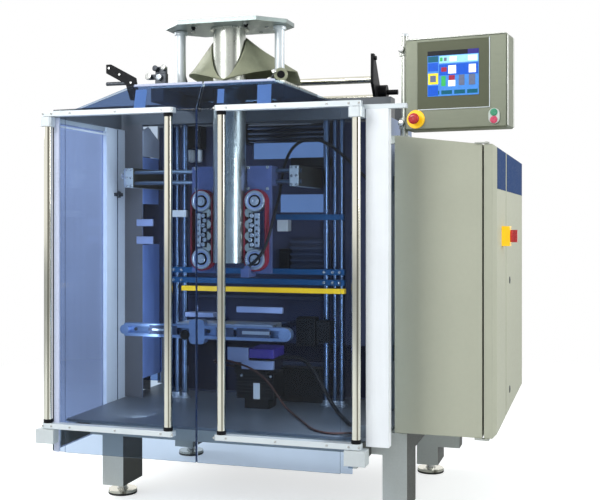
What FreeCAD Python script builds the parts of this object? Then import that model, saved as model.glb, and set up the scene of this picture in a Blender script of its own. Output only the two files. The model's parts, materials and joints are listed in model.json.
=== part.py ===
import FreeCAD, Part
import math
import os

V = FreeCAD.Vector

# Vertical form fill seal machine. Millimetres, +Z up, front towards -Y.
# Working coordinates: x = 0 on the forming tube's axis, y = 0 on the front of the guard doors,
# z = 0 on the ground. At the end everything moves so that the origin is at the middle of the base.

# Forming tube and collar
tube_y = 320.0
tube_d = 124.0
tube_wall = 2.0
tube_bottom = 907.0
deck_top = 1572.0
deck_t = 12.0
deck_half_w = 262.0
deck_front = 185.0
deck_back = 620.0
collar_gap = 3.0
collar_wall = 4.0
collar_front_rise = 22.0
collar_side_rise = 172.0
collar_back_rise = 203.0
collar_lip = 12.0
collar_corner_x = 225.0
collar_corner_y = 140.0
collar_corner_rise = 68.0
collar_arch = 14.0
collar_bow = 44.0
collar_rear_x = 200.0
collar_rear_y = 276.0
collar_rear_rise = 40.0
neck_h = 14.0
neck_wall = 7.0
inlet_plate_w = 486.0
inlet_plate_d = 270.0
inlet_plate_t = 15.0
inlet_clear = 20.0
inlet_corner = 88.0
inlet_plate_top = deck_top + collar_back_rise + inlet_clear + inlet_plate_t
post_d = 37.0
post_half_span = 200.0

# Guard doors
door_sheet_t = 5.0
door_seam = 6.0
door_half_w = 518.0
skirt_z = 222.0
hood_bend_z = 1458.0
hood_top_z = 1560.0
hood_back_y = 60.0
hood_shoulder_w = 495.0
hood_bend_r = 14.0
door_bar_h = 19.0
door_bar_d = 32.0
door_bar_inner = 78.0
door_bar_end = 18.0
top_bar_top = 1464.0
bottom_bar_top = 331.0
door_tube_d = 30.0
door_tube_y = -17.0
handle_x = 100.0
hinge_offset = 59.0
hinge_x = door_half_w + hinge_offset
door_bar_outer = hinge_x + door_bar_end
hinge_pin_d = 20.0
hinge_clear = 0.4
hinge_end_gap = 2.0

# Fixed hinge pieces
eye_w = 46.0
eye_h = 34.0
eye_front = -40.0
eye_back = 14.0
arm_h = 16.0
right_arm_h = 15.0
right_arm_rise = 11.0
right_arm_t = 20.0
right_arm_over = 163.0
block_w = 72.0
block_h = 50.0
block_front = -42.0
lower_arm_w = 30.0
lower_arm_drop = 5.0

# Left side guard and right front strip
side_sheet_t = 5.0
side_back = 390.0
side_rail_w = 30.0
post_strip_t = 20.0
strip_offset = 26.0
strip_w = 77.0
strip_z0 = 316.0
strip_depth = 40.0
strip_t = 3.0
strip_x0 = hinge_x + strip_offset
strip_x1 = strip_x0 + strip_w

# Base and columns
leg_w = 88.0
leg_deep = 165.0
leg_bottom = 48.0
foot_d = 110.0
foot_h = 18.0
foot_stem_d = 26.0
left_leg_in = 132.0
right_leg_out = 79.0
front_leg_y = 312.5
rear_leg_y = 987.5
floor_top = 330.0
floor_t = 10.0
floor_left_in = 25.0
floor_right_out = 63.0
floor_front = 70.0
floor_back = 1000.0
beam_h = 80.0
beam_w = 80.0
left_leg_x = -hinge_x + left_leg_in
right_leg_x = hinge_x + right_leg_out
floor_x0 = -hinge_x + floor_left_in
floor_x1 = hinge_x + floor_right_out
column_drop = 107.0
column_top = deck_top - column_drop
column_in = 2.0
column_w = 99.0
column_wall = 6.0
column_return = 45.0
column_front = 550.0
channel_d = 190.0
rear_post_y = 905.0
column_x1 = hinge_x - column_in
column_x0 = column_x1 - column_w
head_beam_h = 80.0
head_beam_w = 80.0
deck_arm_w = 50.0
bulkhead_y = 700.0
bulkhead_t = 12.0
bulkhead_z0 = 560.0
bulkhead_left = -470.0
lobe_z0 = 965.0
lobe_z1 = 1325.0
upper_window = [-42.0, 285.0, 1322.0, 1389.0]
lower_window = [76.0, 277.0, 1100.0, 1174.0]
stub_w = 90.0
stub_z0 = 125.0

# Electrical cabinet
cab_offset = 87.0
cab_w = 301.0
cab_x0 = hinge_x + cab_offset
cab_x1 = cab_x0 + cab_w
cab_front = 190.0
cab_back = 1300.0
cab_bottom = 330.0
cab_top_left = 1363.0
cab_top_right = 1327.0
cab_door_gap = 6.0
cab_seal_clear = 0.3
cab_seal_w = 16.0
cab_seal_inset = 22.0
cab_door_t = 42.0
cab_door_edge = 14.0
cab_seam_y = 535.0
cab_seam = 6.0
cab_pin_in = 8.0
cab_pin_edge = 3.0
cab_pin_d = 10.0
cab_pin_l = 8.0
cab_pin_clear = 0.4
cab_leaf_t = 5.0
cab_leaf_gap = 1.5
cab_leaf_root = 25.0
cab_leaf_w = 18.0
cab_mount_w = 60.0
cab_mount_z = [520.0, 1180.0]
cab_mount_y = [600.0, 915.0]
switch_y = 400.0
switch_z = 1012.0
switch_plate_w = 66.0
switch_plate_h = 70.0
switch_plate_t = 28.0
switch_knob_d = 44.0
switch_knob_l = 24.0
switch_grip_w = 16.0

# Operator panel
hmi_post_offset = 66.0
hmi_post_x = hinge_x + hmi_post_offset
hmi_post_y = 477.0
hmi_post_d = 25.0
hmi_clamp_wall = 7.0
hmi_clamp_h = 40.0
hmi_clamp_inset = 10.0
hmi_lug_w = 24.0
hmi_front_reach = 55.0
hmi_foot_h = 30.0
hmi_foot_w = 36.0
hmi_post_z0 = 1356.0
hmi_post_top = 1767.0
hmi_w = 380.0
hmi_h = 335.0
hmi_d = 105.0
hmi_z0 = 1400.0
hmi_edge = 5.0
hmi_gap = 7.5
hmi_turn = -7.3
hmi_bezel_t = 3.0
hmi_bezel_left = 50.0
hmi_bezel_right = 65.0
hmi_bezel_low = 75.0
hmi_bezel_top = 14.0
screen_w = 190.0
screen_h = 165.0
screen_t = 2.0
screen_left = 38.0
screen_low = 45.0
stop_in = 42.0
start_in = 47.0
button_low = 40.0
stop_disc_d = 68.0
stop_head_d = 40.0
stop_stem_d = 24.0
stop_head_l = 16.0
stop_stem_l = 18.0
stop_disc_t = 4.0
start_w = 40.0
start_h = 56.0
start_t = 8.0

# Film pull belts
belt_pulley_d = 80.0
belt_t = 5.0
belt_w = 38.0
belt_film_gap = 1.0
belt_z_top = 1140.0
belt_z_bottom = 921.0
carriage_t = 12.0
carriage_margin = 14.0
carriage_tube_gap = 3.0
belt_clear = 5.0
press_roller_d = 34.0
press_roller_count = 4

# Carriage rails
rail_d = 16.0
rail_z_top = 1258.0
rail_z_bottom = 1216.0
rail_tube_gap = 8.0
rail_x0 = -476.0
rail_x1 = 262.0
rail_end = 24.0
rail_block_half = 18.0

# Sealing gear
guide_rod_x = [305.0, 340.0, 368.0]
guide_rod_d = [26.0, 18.0, 20.0]
guide_rod_y = 600.0
cross_bar_z = [863.0, 822.0]
cross_bar_h = 22.0
cross_bar_d = 26.0
upper_bar = [106.0, 384.0, 1080.0]
yellow_bar_z = 788.0
yellow_bar_h = 19.0
jaw_z = 650.0
jaw_h = 60.0
jaw_half_w = 190.0
jaw_d = 50.0
jaw_gap = 6.0
jaw_rod_d = 24.0
jaw_rod_x = 160.0
jaw_beam_x0 = -398.0
jaw_beam_x1 = 248.0
jaw_beam_d = 34.0
jaw_beam_flange = 11.0
jaw_beam_web = 8.0
jaw_beam_boss = 36.0
knuckle_x = -98.0
knuckle_w = 62.0
knuckle_h = 92.0
drive_x0 = -15.0
drive_x1 = 135.0
drive_y0 = 440.0
drive_y1 = 570.0
drive_foot_in = [25.0, 20.0]
drive_rise = [42.0, 140.0, 175.0, 218.0]
drive_step = [10.0, 30.0]
drive_head = [20.0, 40.0]
floor_box = [100.0, 292.0, 60.0, 138.0]
valve_box = [-322.0, -253.0, 60.0, 96.0, 3.0]
fan_box = [150.0, 300.0, 214.0, 80.0, 1225.0, 1283.0, 1320.0]

# Film rollers behind the top: place in y, height over the head frame, diameter
roller_arm_x = 432.0
roller_arm_t = 12.0
top_rollers = [[840.0, 110.0, 30.0], [944.0, 49.0, 24.0], [962.0, 21.0, 36.0]]
roller_arm_outline = [(905.0, 0.0), (985.0, 0.0), (980.0, 65.0), (858.0, 217.0), (828.0, 217.0), (824.0, 95.0)]
reel_hub = [944.0, 67.0, 64.0, 34.0]
reel_shaft = [22.0, 46.0]

# Rollers before the bulkhead: gap to it, depth under the column's top, diameter
inner_rollers = [[50.0, 17.0, 24.0], [50.0, 41.0, 16.0], [50.0, 60.0, 18.0], [45.0, 75.0, 9.0]]
inner_roller_x0 = -45.0
inner_roller_x1 = 290.0
inner_arm_d = 66.0
inner_arm_h = 85.0

# Cords: points of each route, with heights over the floor plate
gland_l = 34.0
hose_d = 15.0
hose_route = [(105, 490, 197), (151, 490, 197), (201, 492, 206), (249, 489, 194), (286, 480, 156), (318, 473, 108),
              (346, 466, 64), (374, 450, 29), (402, 418, 11), (432, 362, 8), (462, 297, 8), (494, 232, 8.5),
              (528, 196, 10.5), (556, 177, 15)]
cable_d = 8.0
cable_route = [(-33, 484, 158), (-60, 484.5, 160), (-88, 475, 166), (-106, 451, 175), (-106, 421, 185),
               (-88, 397, 193), (-60, 388, 197), (-28, 388, 194), (8, 392, 184), (46, 391, 174), (86, 386, 157),
               (126, 381, 128), (158, 383, 91), (182, 391, 50), (204, 392, 22), (230, 376, 9), (262, 334, 4.6),
               (300, 272, 4.4), (338, 209, 4.4), (371, 152, 4.4), (408, 112, 4.4), (452, 92, 4.6), (504, 92, 7),
               (556, 100, 13)]
loop_d = 12.0
loop_route = [(486, 534, 896), (450, 538, 932), (410, 545, 970), (378, 549, 998), (345, 551, 1024), (304, 553, 1049),
              (255, 555, 1060), (209, 554, 1051), (174, 550, 1021), (155, 538, 976), (151, 511, 930),
              (157, 474, 888), (167, 430, 852), (175, 386, 818), (179, 345, 785), (178, 313, 748), (174, 294, 706),
              (165, 287, 664), (151, 284, 628), (132, 282, 600), (112, 281, 581), (93, 281, 566)]
cord_box = [566.0, 626.0, 84.0, 200.0, 42.0]
loop_clamp = [494.0, 530.0, 30.0, 860.0, 892.0]
sensor_w = 31.0
sensor_d = 30.0
sensor_front = 268.0
sensor_h = 32.0


def block(x0, x1, y0, y1, z0, z1):
    """A box between the given limits."""
    low = V(min(x0, x1), min(y0, y1), min(z0, z1))
    return Part.makeBox(abs(x1 - x0), abs(y1 - y0), abs(z1 - z0), low)


def rod(x, y, z0, z1, d):
    """An upright round bar."""
    return Part.makeCylinder(d / 2, z1 - z0, V(x, y, z0))


def rod_x(x0, x1, y, z, d):
    """A round bar along X."""
    return Part.makeCylinder(d / 2, x1 - x0, V(x0, y, z), V(1, 0, 0))


def rod_y(x, y0, y1, z, d):
    """A round bar along Y."""
    return Part.makeCylinder(d / 2, y1 - y0, V(x, y0, z), V(0, 1, 0))


def fused(shapes):
    """One solid from pieces that touch or overlap."""
    whole = shapes[0].fuse(shapes[1:]) if len(shapes) > 1 else shapes[0]
    return whole.removeSplitter()


def prism(points, direction):
    """A straight prism over a closed outline."""
    return Part.Face(Part.makePolygon(points + [points[0]])).extrude(direction)


# Cords: straight runs joined by tangent arcs, each arc as large as its two runs allow.

def route_points(route):
    return [V(x, y, floor_top + z) for x, y, z in route]


def cord(name, route, d):
    """Round tube along a route. Prints its length, its arcs' radii and how its volume compares."""
    points = route_points(route)
    edges = []
    radii = []
    start = points[0]
    for a, b, c in zip(points, points[1:], points[2:]):
        back = (a - b).normalize()
        on = (c - b).normalize()
        turn = math.pi - back.getAngle(on)
        reach = 0.45 * min((a - b).Length, (c - b).Length)
        radius = reach / math.tan(turn / 2)
        radii.append(radius)
        p = b + back * reach
        q = b + on * reach
        inside = (back + on).normalize()
        mid = b + inside * (math.hypot(radius, reach) - radius)
        edges.append(Part.LineSegment(start, p).toShape())
        edges.append(Part.Arc(p, mid, q).toShape())
        start = q
    edges.append(Part.LineSegment(start, points[-1]).toShape())
    path = Part.Wire(edges)
    ring = Part.Wire([Part.makeCircle(d / 2, points[0], points[1] - points[0])])
    tube = path.makePipeShell([ring], True, False)
    print(name, "length", round(path.Length), "radii", [round(r) for r in radii], "volume share",
          round(tube.Volume / (math.pi * d * d / 4 * path.Length), 4), "valid", tube.isValid())
    return tube


def gland(points, d, end=0):
    """Socket that a cord's end goes into, in line with its last run."""
    tip, before = (points[0], points[1]) if end == 0 else (points[-1], points[-2])
    return Part.makeCylinder(d * 0.8, gland_l, tip, tip - before)


# Base

leg_places = [(x, y) for x in (left_leg_x, right_leg_x) for y in (front_leg_y, rear_leg_y)]
hinge_low_z1 = bottom_bar_top - door_bar_h - hinge_end_gap
hinge_high_z1 = top_bar_top - door_bar_h - hinge_end_gap


def make_base_frame():
    """Four legs joined under the floor plate by a ring of beams, with a stub under the cabinet."""
    beam_z1 = floor_top - floor_t
    beam_z0 = beam_z1 - beam_h
    half = leg_w / 2
    deep = leg_deep / 2
    inner = hinge_x - side_sheet_t
    pieces = []
    for x, y in leg_places:
        pieces.append(block(x - half, x + half, y - deep, y + deep, leg_bottom, beam_z1))
    for y in (front_leg_y, rear_leg_y):
        pieces.append(block(-inner, right_leg_x, y - deep, y - deep + beam_w, beam_z0, beam_z1))
    for x in (left_leg_x, right_leg_x):
        pieces.append(block(x - half, x + half, front_leg_y, rear_leg_y, beam_z0, beam_z1))
    for x in (-inner, inner - lower_arm_w):
        pieces.append(block(x, x + lower_arm_w, eye_back, front_leg_y, beam_z0, hinge_low_z1 - lower_arm_drop))
    stub_y = rear_leg_y - deep
    pieces.append(block(right_leg_x, right_leg_x + half + stub_w, stub_y, stub_y + beam_w, stub_z0, cab_bottom)
                  .cut(block(right_leg_x - half, floor_x1, stub_y, stub_y + beam_w, beam_z1, cab_bottom)))
    return fused(pieces)


def make_levelling_feet():
    feet = []
    for x, y in leg_places:
        disc = rod(x, y, 0, foot_h, foot_d)
        stem = rod(x, y, foot_h, leg_bottom, foot_stem_d)
        feet.append(disc.fuse(stem).removeSplitter())
    return feet


def make_cord_box():
    """Terminal box on the floor plate that the floor cords end in."""
    x0, x1, y0, y1, h = cord_box
    box = block(x0, x1, y0, y1, floor_top, floor_top + h)
    return fused([box, gland(route_points(hose_route), hose_d, 1), gland(route_points(cable_route), cable_d, 1)])


def make_floor_plate():
    return block(floor_x0, floor_x1, floor_front, floor_back, floor_top - floor_t, floor_top)


def make_column(side):
    """Folded front column, open to the inside, and the square post behind it."""
    out = side * column_x1
    inn = side * column_x0
    back = column_front + channel_d
    wall = side * column_wall
    channel = block(inn, out, column_front, back, floor_top, column_top)
    channel = channel.cut(block(inn, out - wall, column_front + column_wall, back - column_wall, floor_top, column_top))
    channel = channel.cut(block(inn, out - side * column_return, column_front + column_wall, back,
                                floor_top, column_top))
    post = block(inn, out, rear_post_y, rear_post_y + head_beam_w, floor_top, column_top)
    if side < 0:
        return [channel, post]
    x0, x1, deep, z0, z1 = loop_clamp
    clamp = fused([block(x0, x1, column_front - deep, column_front, floor_top + z0, floor_top + z1),
                   gland(route_points(loop_route), loop_d)])
    return [channel.fuse(clamp).removeSplitter(), post]


def make_head_frame():
    """Cross beams over the columns, with arms forward to the deck of the forming set."""
    z0 = column_top
    z1 = z0 + head_beam_h
    pieces = []
    for y in (column_front, rear_post_y):
        pieces.append(block(-column_x1, column_x1, y, y + head_beam_w, z0, z1))
    for s in (-1, 1):
        x = s * (deck_half_w - deck_arm_w / 2)
        pieces.append(block(x - deck_arm_w / 2, x + deck_arm_w / 2, deck_front, rear_post_y + deck_arm_w / 2,
                            deck_top - deck_t - deck_arm_w, deck_top - deck_t))
    return fused(pieces)


def make_forming_deck():
    plate = block(-deck_half_w, deck_half_w, deck_front, deck_back, deck_top - deck_t, deck_top)
    return plate.cut(rod(0, tube_y, deck_top - deck_t, deck_top, tube_d + 2 * collar_gap))


def make_bulkhead():
    """Wall behind the sealing gear that carries rails and rollers, with two windows."""
    y0 = bulkhead_y
    y1 = bulkhead_y + bulkhead_t
    side = column_x1 - column_wall
    wall = fused([block(bulkhead_left, side, y0, y1, bulkhead_z0, column_top),
                  block(-side, bulkhead_left, y0, y1, lobe_z0, lobe_z1)])
    for x0, x1, z0, z1 in (upper_window, lower_window):
        wall = wall.cut(block(x0, x1, y0, y1, z0, z1))
    return wall


# Forming set

def make_forming_tube():
    z1 = inlet_plate_top
    outer = rod(0, tube_y, tube_bottom, z1, tube_d)
    return outer.cut(rod(0, tube_y, tube_bottom, z1, tube_d - 2 * tube_wall))


def make_inlet_plate():
    hw = inlet_plate_w / 2
    hd = inlet_plate_d / 2
    z = inlet_plate_top - inlet_plate_t
    outline = [(-hw, -hd + inlet_corner), (-hw + inlet_corner, -hd), (hw - inlet_corner, -hd), (hw, -hd + inlet_corner),
               (hw, hd - inlet_corner), (hw - inlet_corner, hd), (-hw + inlet_corner, hd), (-hw, hd - inlet_corner)]
    plate = prism([V(x, tube_y + y, z) for x, y in outline], V(0, 0, inlet_plate_t))
    return plate.cut(rod(0, tube_y, z, inlet_plate_top, tube_d))


def make_plate_posts():
    z1 = inlet_plate_top - inlet_plate_t
    return [rod(s * post_half_span, tube_y, deck_top, z1, post_d) for s in (-1, 1)]


# Collar: the rim round the tube and the outer edge are cut into three stretches a side, and each stretch
# is folded from flat strips that run from the rim to the edge.

collar_r = tube_d / 2 + collar_gap


def rim_point(angle):
    """Point on the rim, angle 0 at the front of the tube, pi at its back."""
    turn = 1 - math.cos(angle)
    if angle <= math.pi / 2:
        rise = collar_front_rise + (collar_side_rise - collar_front_rise) * turn ** 0.8
    else:
        rise = collar_side_rise + (collar_back_rise - collar_side_rise) * (turn - 1)
    return V(collar_r * math.sin(angle), tube_y - collar_r * math.cos(angle), deck_top + rise)


def edge_point(part, t):
    """Point on the outer edge: part 0 from the front lip to the wing's corner, 1 to the rear corner, 2 to the back."""
    lip = V(0, tube_y - collar_r - collar_lip, deck_top + collar_front_rise - collar_wall)
    corner = V(collar_corner_x, tube_y + collar_corner_y, deck_top + collar_corner_rise)
    rear = V(collar_rear_x, tube_y + collar_rear_y, deck_top + collar_rear_rise)
    back = V(0, tube_y + collar_rear_y, deck_top + collar_rear_rise)
    a, b = ((lip, corner), (corner, rear), (rear, back))[part]
    point = a + (b - a) * t
    if part == 0:
        swell = math.sin(math.pi * t)
        span = corner - lip
        point += V(span.y, -span.x, 0).normalize() * collar_bow * swell
        point.z += collar_arch * swell
    return point


def flat_face(points):
    return Part.Face(Part.makePolygon(points + [points[0]]))


def collar_stretch(part, angle0, angle1, side, count=9):
    """Bent sheet of the collar from the rim to the outer edge, in flat folds, with the wall under it."""
    rim = []
    edge = []
    for i in range(count):
        t = i / (count - 1)
        for points, p in ((rim, rim_point(angle0 + (angle1 - angle0) * t)), (edge, edge_point(part, t))):
            points.append(V(side * p.x, p.y, p.z))
    drop = V(0, 0, -collar_wall)
    faces = []
    for i in range(count - 1):
        for fold in ([rim[i], rim[i + 1], edge[i + 1]], [rim[i], edge[i + 1], edge[i]]):
            faces.append(flat_face(fold))
            faces.append(flat_face([p + drop for p in fold]))
    outline = rim + edge[::-1]
    for a, b in zip(outline, outline[1:] + outline[:1]):
        faces.append(flat_face([a, b, b + drop, a + drop]))
    shell = Part.makeShell(faces)
    shell.sewShape()
    solid = Part.makeSolid(shell)
    if solid.Volume < 0:
        solid.reverse()
    return solid


def make_forming_shoulder():
    """Collar with two wings that turns flat film down round the tube: low in front, high at the back."""
    sheets = []
    for side in (-1, 1):
        sheets.append(collar_stretch(0, 0, math.pi / 2, side))
        sheets.append(collar_stretch(1, math.pi / 2, math.pi * 0.75, side))
        sheets.append(collar_stretch(2, math.pi * 0.75, math.pi, side))
    neck = rod(0, tube_y, deck_top, deck_top + neck_h, 2 * (collar_r + neck_wall))
    neck = neck.cut(rod(0, tube_y, deck_top, deck_top + neck_h, 2 * collar_r))
    y1 = tube_y + collar_rear_y
    stand = block(-collar_rear_x, collar_rear_x, y1 - collar_wall, y1, deck_top,
                  deck_top + collar_rear_rise - collar_wall)
    return sheets + [neck, stand]


# Guard doors, side = -1 left, +1 right

def make_door_sheet(side):
    """Flat guard sheet bent back at the top into half of the hood."""
    run = hood_back_y
    rise = hood_top_z - hood_bend_z
    slope = math.hypot(run, rise)
    nx = rise / slope
    nz = run / slope
    t = door_sheet_t
    inner_bend = hood_bend_z - t * (1 - nx) / nz
    profile = [(0, skirt_z), (0, hood_bend_z), (run, hood_top_z), (run + t * nx, hood_top_z - t * nz),
               (t, inner_bend), (t, skirt_z)]
    x0 = side * door_seam / 2
    sheet = prism([V(x0, y, z) for y, z in profile], V(side * (door_half_w - door_seam / 2), 0, 0))
    crease = [e for e in sheet.Edges if abs(e.BoundBox.YLength) < 1e-6 and abs(e.BoundBox.ZLength) < 1e-6
              and hood_bend_z - 2 * t < e.BoundBox.ZMin < hood_bend_z + t]
    sheet = sheet.makeFillet(hood_bend_r, crease)
    far = side * (door_half_w + 200)
    cut = prism([V(side * door_half_w, -50, hood_bend_z), V(far, -50, hood_bend_z),
                 V(far, -50, hood_top_z + 100), V(side * (door_half_w - hood_shoulder_w), -50, hood_top_z + 100)], V(0, 300, 0))
    return sheet.cut(cut)


def make_door_bar(side, top):
    x0 = side * door_bar_inner
    x1 = side * door_bar_outer
    bar = block(x0, x1, -door_bar_d, 0, top - door_bar_h, top)
    ends = [e for e in bar.Edges if abs(e.BoundBox.ZLength - door_bar_h) < 1e-6 and e.BoundBox.YMin < -1
            and len(e.Vertexes) == 2]
    return bar.makeFillet(8.0, ends)


def make_handle_tube(side):
    return rod(side * handle_x, door_tube_y, bottom_bar_top, top_bar_top - door_bar_h, door_tube_d)


def make_hinge_tube(side):
    tube = rod(side * hinge_x, door_tube_y, bottom_bar_top, top_bar_top - door_bar_h, door_tube_d)
    z1 = bottom_bar_top - door_bar_h
    pin = rod(side * hinge_x, door_tube_y, z1 - block_h, z1, hinge_pin_d)
    return [tube, pin]


def make_hinge_eye(side):
    """Upper fixed eye round the hinge tube."""
    z1 = hinge_high_z1
    x = side * hinge_x
    eye = block(x - eye_w / 2, x + eye_w / 2, eye_front, eye_back, z1 - eye_h, z1)
    eye = eye.makeFillet(10.0, [e for e in eye.Edges if abs(e.BoundBox.ZLength - eye_h) < 1e-6
                                and e.BoundBox.YMin < eye_front + 1])
    return eye.cut(rod(x, door_tube_y, z1 - eye_h, z1, door_tube_d + 2 * hinge_clear))


def make_left_side_rail():
    z1 = hinge_high_z1
    rail = block(-hinge_x - side_rail_w / 2, -hinge_x + side_rail_w / 2, eye_back, side_back, z1 - arm_h, z1)
    return fused([rail, make_hinge_eye(-1)])


def make_right_hinge_arm():
    """Arm from the hinge eye past the front strip, with a bar back to the column."""
    z1 = hinge_high_z1 + right_arm_rise
    z0 = z1 - right_arm_h
    x0 = column_x1 - lower_arm_w
    arm = block(x0, hinge_x + right_arm_over, eye_back, eye_back + right_arm_t, z0, z1)
    root = block(hinge_x - eye_w / 2, hinge_x + eye_w / 2, eye_back, eye_back + right_arm_t,
                 hinge_high_z1 - eye_h, z1)
    back = block(x0, column_x1, eye_back, column_front, z0, z1)
    return fused([arm, root, back, make_hinge_eye(1)])


def make_hinge_blocks():
    blocks = []
    z1 = hinge_low_z1
    for s in (-1, 1):
        x = s * hinge_x
        piece = block(x - block_w / 2, x + block_w / 2, block_front, eye_back, z1 - block_h, z1)
        blocks.append(piece.cut(rod(x, door_tube_y, z1 - block_h, z1, hinge_pin_d + 2 * hinge_clear)))
    return blocks


def make_left_side_panel():
    z1 = hinge_high_z1 - arm_h
    return block(-hinge_x, -hinge_x + side_sheet_t, eye_back, side_back, skirt_z, z1)


def make_left_post_strip():
    z1 = hinge_high_z1
    return block(-hinge_x, -hinge_x + post_strip_t, side_back, column_front, skirt_z, z1)


def make_right_front_strip():
    z1 = hinge_high_z1 + right_arm_rise - right_arm_h
    outer = block(strip_x0, strip_x1, eye_back, eye_back + strip_depth, strip_z0, z1)
    inner = block(strip_x0 + strip_t, strip_x1 - strip_t, eye_back + strip_t, eye_back + strip_depth, strip_z0, z1)
    return outer.cut(inner)


# Electrical cabinet

def make_cabinet_body():
    outline = [V(cab_x0, cab_front, cab_bottom), V(cab_x1, cab_front, cab_bottom),
               V(cab_x1, cab_front, cab_top_right), V(cab_x0, cab_front, cab_top_left)]
    return prism(outline, V(0, cab_back - cab_front, 0))


def make_cabinet_mounts():
    """Stand-offs that carry the cabinet on the right column."""
    mounts = []
    for y in cab_mount_y:
        for z in cab_mount_z:
            mounts.append(block(column_x1, cab_x0, y, y + cab_mount_w, z, z + cab_mount_w))
    return mounts


def make_cabinet_seal():
    """Black gasket that fills the gap between cabinet and doors."""
    x1 = cab_x1 + cab_door_gap - cab_seal_clear
    i = cab_seal_inset
    w = cab_seal_w
    ring = block(cab_x1, x1, cab_front + i, cab_back - i, cab_bottom + i, cab_top_right - i)
    for y0, y1 in ((cab_front + i + w, cab_seam_y - w), (cab_seam_y + w, cab_back - i - w)):
        ring = ring.cut(block(cab_x1, x1, y0, y1, cab_bottom + i + w, cab_top_right - i - w))
    return ring


cab_door_x = cab_x1 + cab_door_gap
cab_pin_x = cab_door_x + cab_pin_in
cab_pin_y = [cab_front + cab_pin_edge, cab_back - cab_pin_edge]


def make_cabinet_door(y0, y1, pin_y):
    """Door pan with a bevel all round its outer face and a hinge pin above and below."""
    x1 = cab_door_x + cab_door_t
    pan = block(cab_door_x, x1, y0, y1, cab_bottom, cab_top_right)
    pan = pan.makeChamfer(cab_door_edge, [e for e in pan.Edges if e.BoundBox.XMin > x1 - 1])
    top = rod(cab_pin_x, pin_y, cab_top_right, cab_top_right + cab_pin_l, cab_pin_d)
    low = rod(cab_pin_x, pin_y, cab_bottom - cab_pin_l, cab_bottom, cab_pin_d)
    return [pan, top, low]


def make_cabinet_hinges():
    """Hinge leaves on the cabinet, one above and one below each door, bored for the pins."""
    leaves = []
    for y in cab_pin_y:
        for z0 in (cab_top_right + cab_leaf_gap, cab_bottom - cab_leaf_gap - cab_leaf_t):
            leaf = block(cab_x1 - cab_leaf_root, cab_pin_x + cab_pin_d, y - cab_leaf_w / 2, y + cab_leaf_w / 2,
                         z0, z0 + cab_leaf_t)
            if z0 < cab_bottom:
                leaf = fused([leaf, block(cab_x1 - cab_leaf_root, cab_x1, y - cab_leaf_w / 2, y + cab_leaf_w / 2,
                                          z0, cab_bottom)])
            leaf = leaf.cut(rod(cab_pin_x, y, z0, z0 + cab_leaf_t, cab_pin_d + 2 * cab_pin_clear))
            leaves.append(leaf.cut(make_cabinet_body()))
    return leaves


def make_switch_plate():
    x0 = cab_door_x + cab_door_t
    return block(x0, x0 + switch_plate_t, switch_y - switch_plate_w / 2, switch_y + switch_plate_w / 2,
                 switch_z - switch_plate_h / 2, switch_z + switch_plate_h / 2)


def make_main_switch():
    x0 = cab_door_x + cab_door_t + switch_plate_t + hinge_clear
    half = switch_grip_w / 2
    knob = Part.makeCylinder(switch_knob_d / 2, switch_knob_l * 0.4, V(x0, switch_y, switch_z), V(1, 0, 0))
    grip = block(x0, x0 + switch_knob_l, switch_y - half, switch_y + half, switch_z - switch_knob_d / 2,
                 switch_z + switch_knob_d / 2)
    return fused([knob, grip])


# Operator panel

def turned(shape):
    """Turn a piece with the operator panel about its post."""
    return shape.rotated(V(hmi_post_x, hmi_post_y, 0), V(0, 0, 1), hmi_turn)


hmi_x0 = hmi_post_x + hmi_post_d / 2 + hmi_gap
hmi_front = hmi_post_y - hmi_front_reach
hmi_z1 = hmi_z0 + hmi_h


def make_hmi_post():
    """Post on a bracket that comes forward from the right column."""
    pole = rod(hmi_post_x, hmi_post_y, hmi_post_z0, hmi_post_top, hmi_post_d)
    y0 = hmi_post_y - hmi_foot_w / 2
    y1 = hmi_post_y + hmi_foot_w / 2
    z1 = hmi_post_z0 + hmi_foot_h
    x0 = column_x1 - lower_arm_w
    foot = block(x0, hmi_post_x + hmi_foot_w / 2, y0, y1, hmi_post_z0, z1)
    back = block(x0, column_x1, y1, column_front, hmi_post_z0, z1)
    return fused([pole, foot, back])


def make_hmi_box():
    body = block(hmi_x0, hmi_x0 + hmi_w, hmi_front, hmi_front + hmi_d, hmi_z0, hmi_z1)
    return turned(body.makeChamfer(hmi_edge, body.Edges))


def make_hmi_clamps():
    clamps = []
    for z in (hmi_z0 + hmi_clamp_inset, hmi_z1 - hmi_clamp_inset - hmi_clamp_h):
        z1 = z + hmi_clamp_h
        ring = rod(hmi_post_x, hmi_post_y, z, z1, hmi_post_d + 2 * hmi_clamp_wall)
        lug = block(hmi_post_x, hmi_x0, hmi_post_y - hmi_lug_w / 2, hmi_post_y + hmi_lug_w / 2, z, z1)
        bore = rod(hmi_post_x, hmi_post_y, z, z1, hmi_post_d + 2 * hinge_clear)
        clamps.append(turned(ring.fuse(lug).removeSplitter().cut(bore)))
    return clamps


def make_hmi_bezel():
    return turned(block(hmi_x0 + hmi_bezel_left, hmi_x0 + hmi_w - hmi_bezel_right, hmi_front - hmi_bezel_t, hmi_front,
                        hmi_z0 + hmi_bezel_low, hmi_z1 - hmi_bezel_top))


def make_hmi_screen():
    x0 = hmi_x0 + hmi_bezel_left + screen_left
    z0 = hmi_z0 + hmi_bezel_low + screen_low
    y1 = hmi_front - hmi_bezel_t
    return turned(block(x0, x0 + screen_w, y1 - screen_t, y1, z0, z0 + screen_h))


def make_stop_button():
    x = hmi_x0 + stop_in
    z = hmi_z0 + button_low
    y1 = hmi_front
    disc = rod_y(x, y1 - stop_disc_t, y1, z, stop_disc_d)
    y0 = y1 - stop_disc_t - stop_stem_l
    stem = rod_y(x, y0, y1 - stop_disc_t, z, stop_stem_d)
    head = rod_y(x, y0 - stop_head_l, y0, z, stop_head_d)
    return [turned(disc), turned(fused([stem, head]))]


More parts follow.
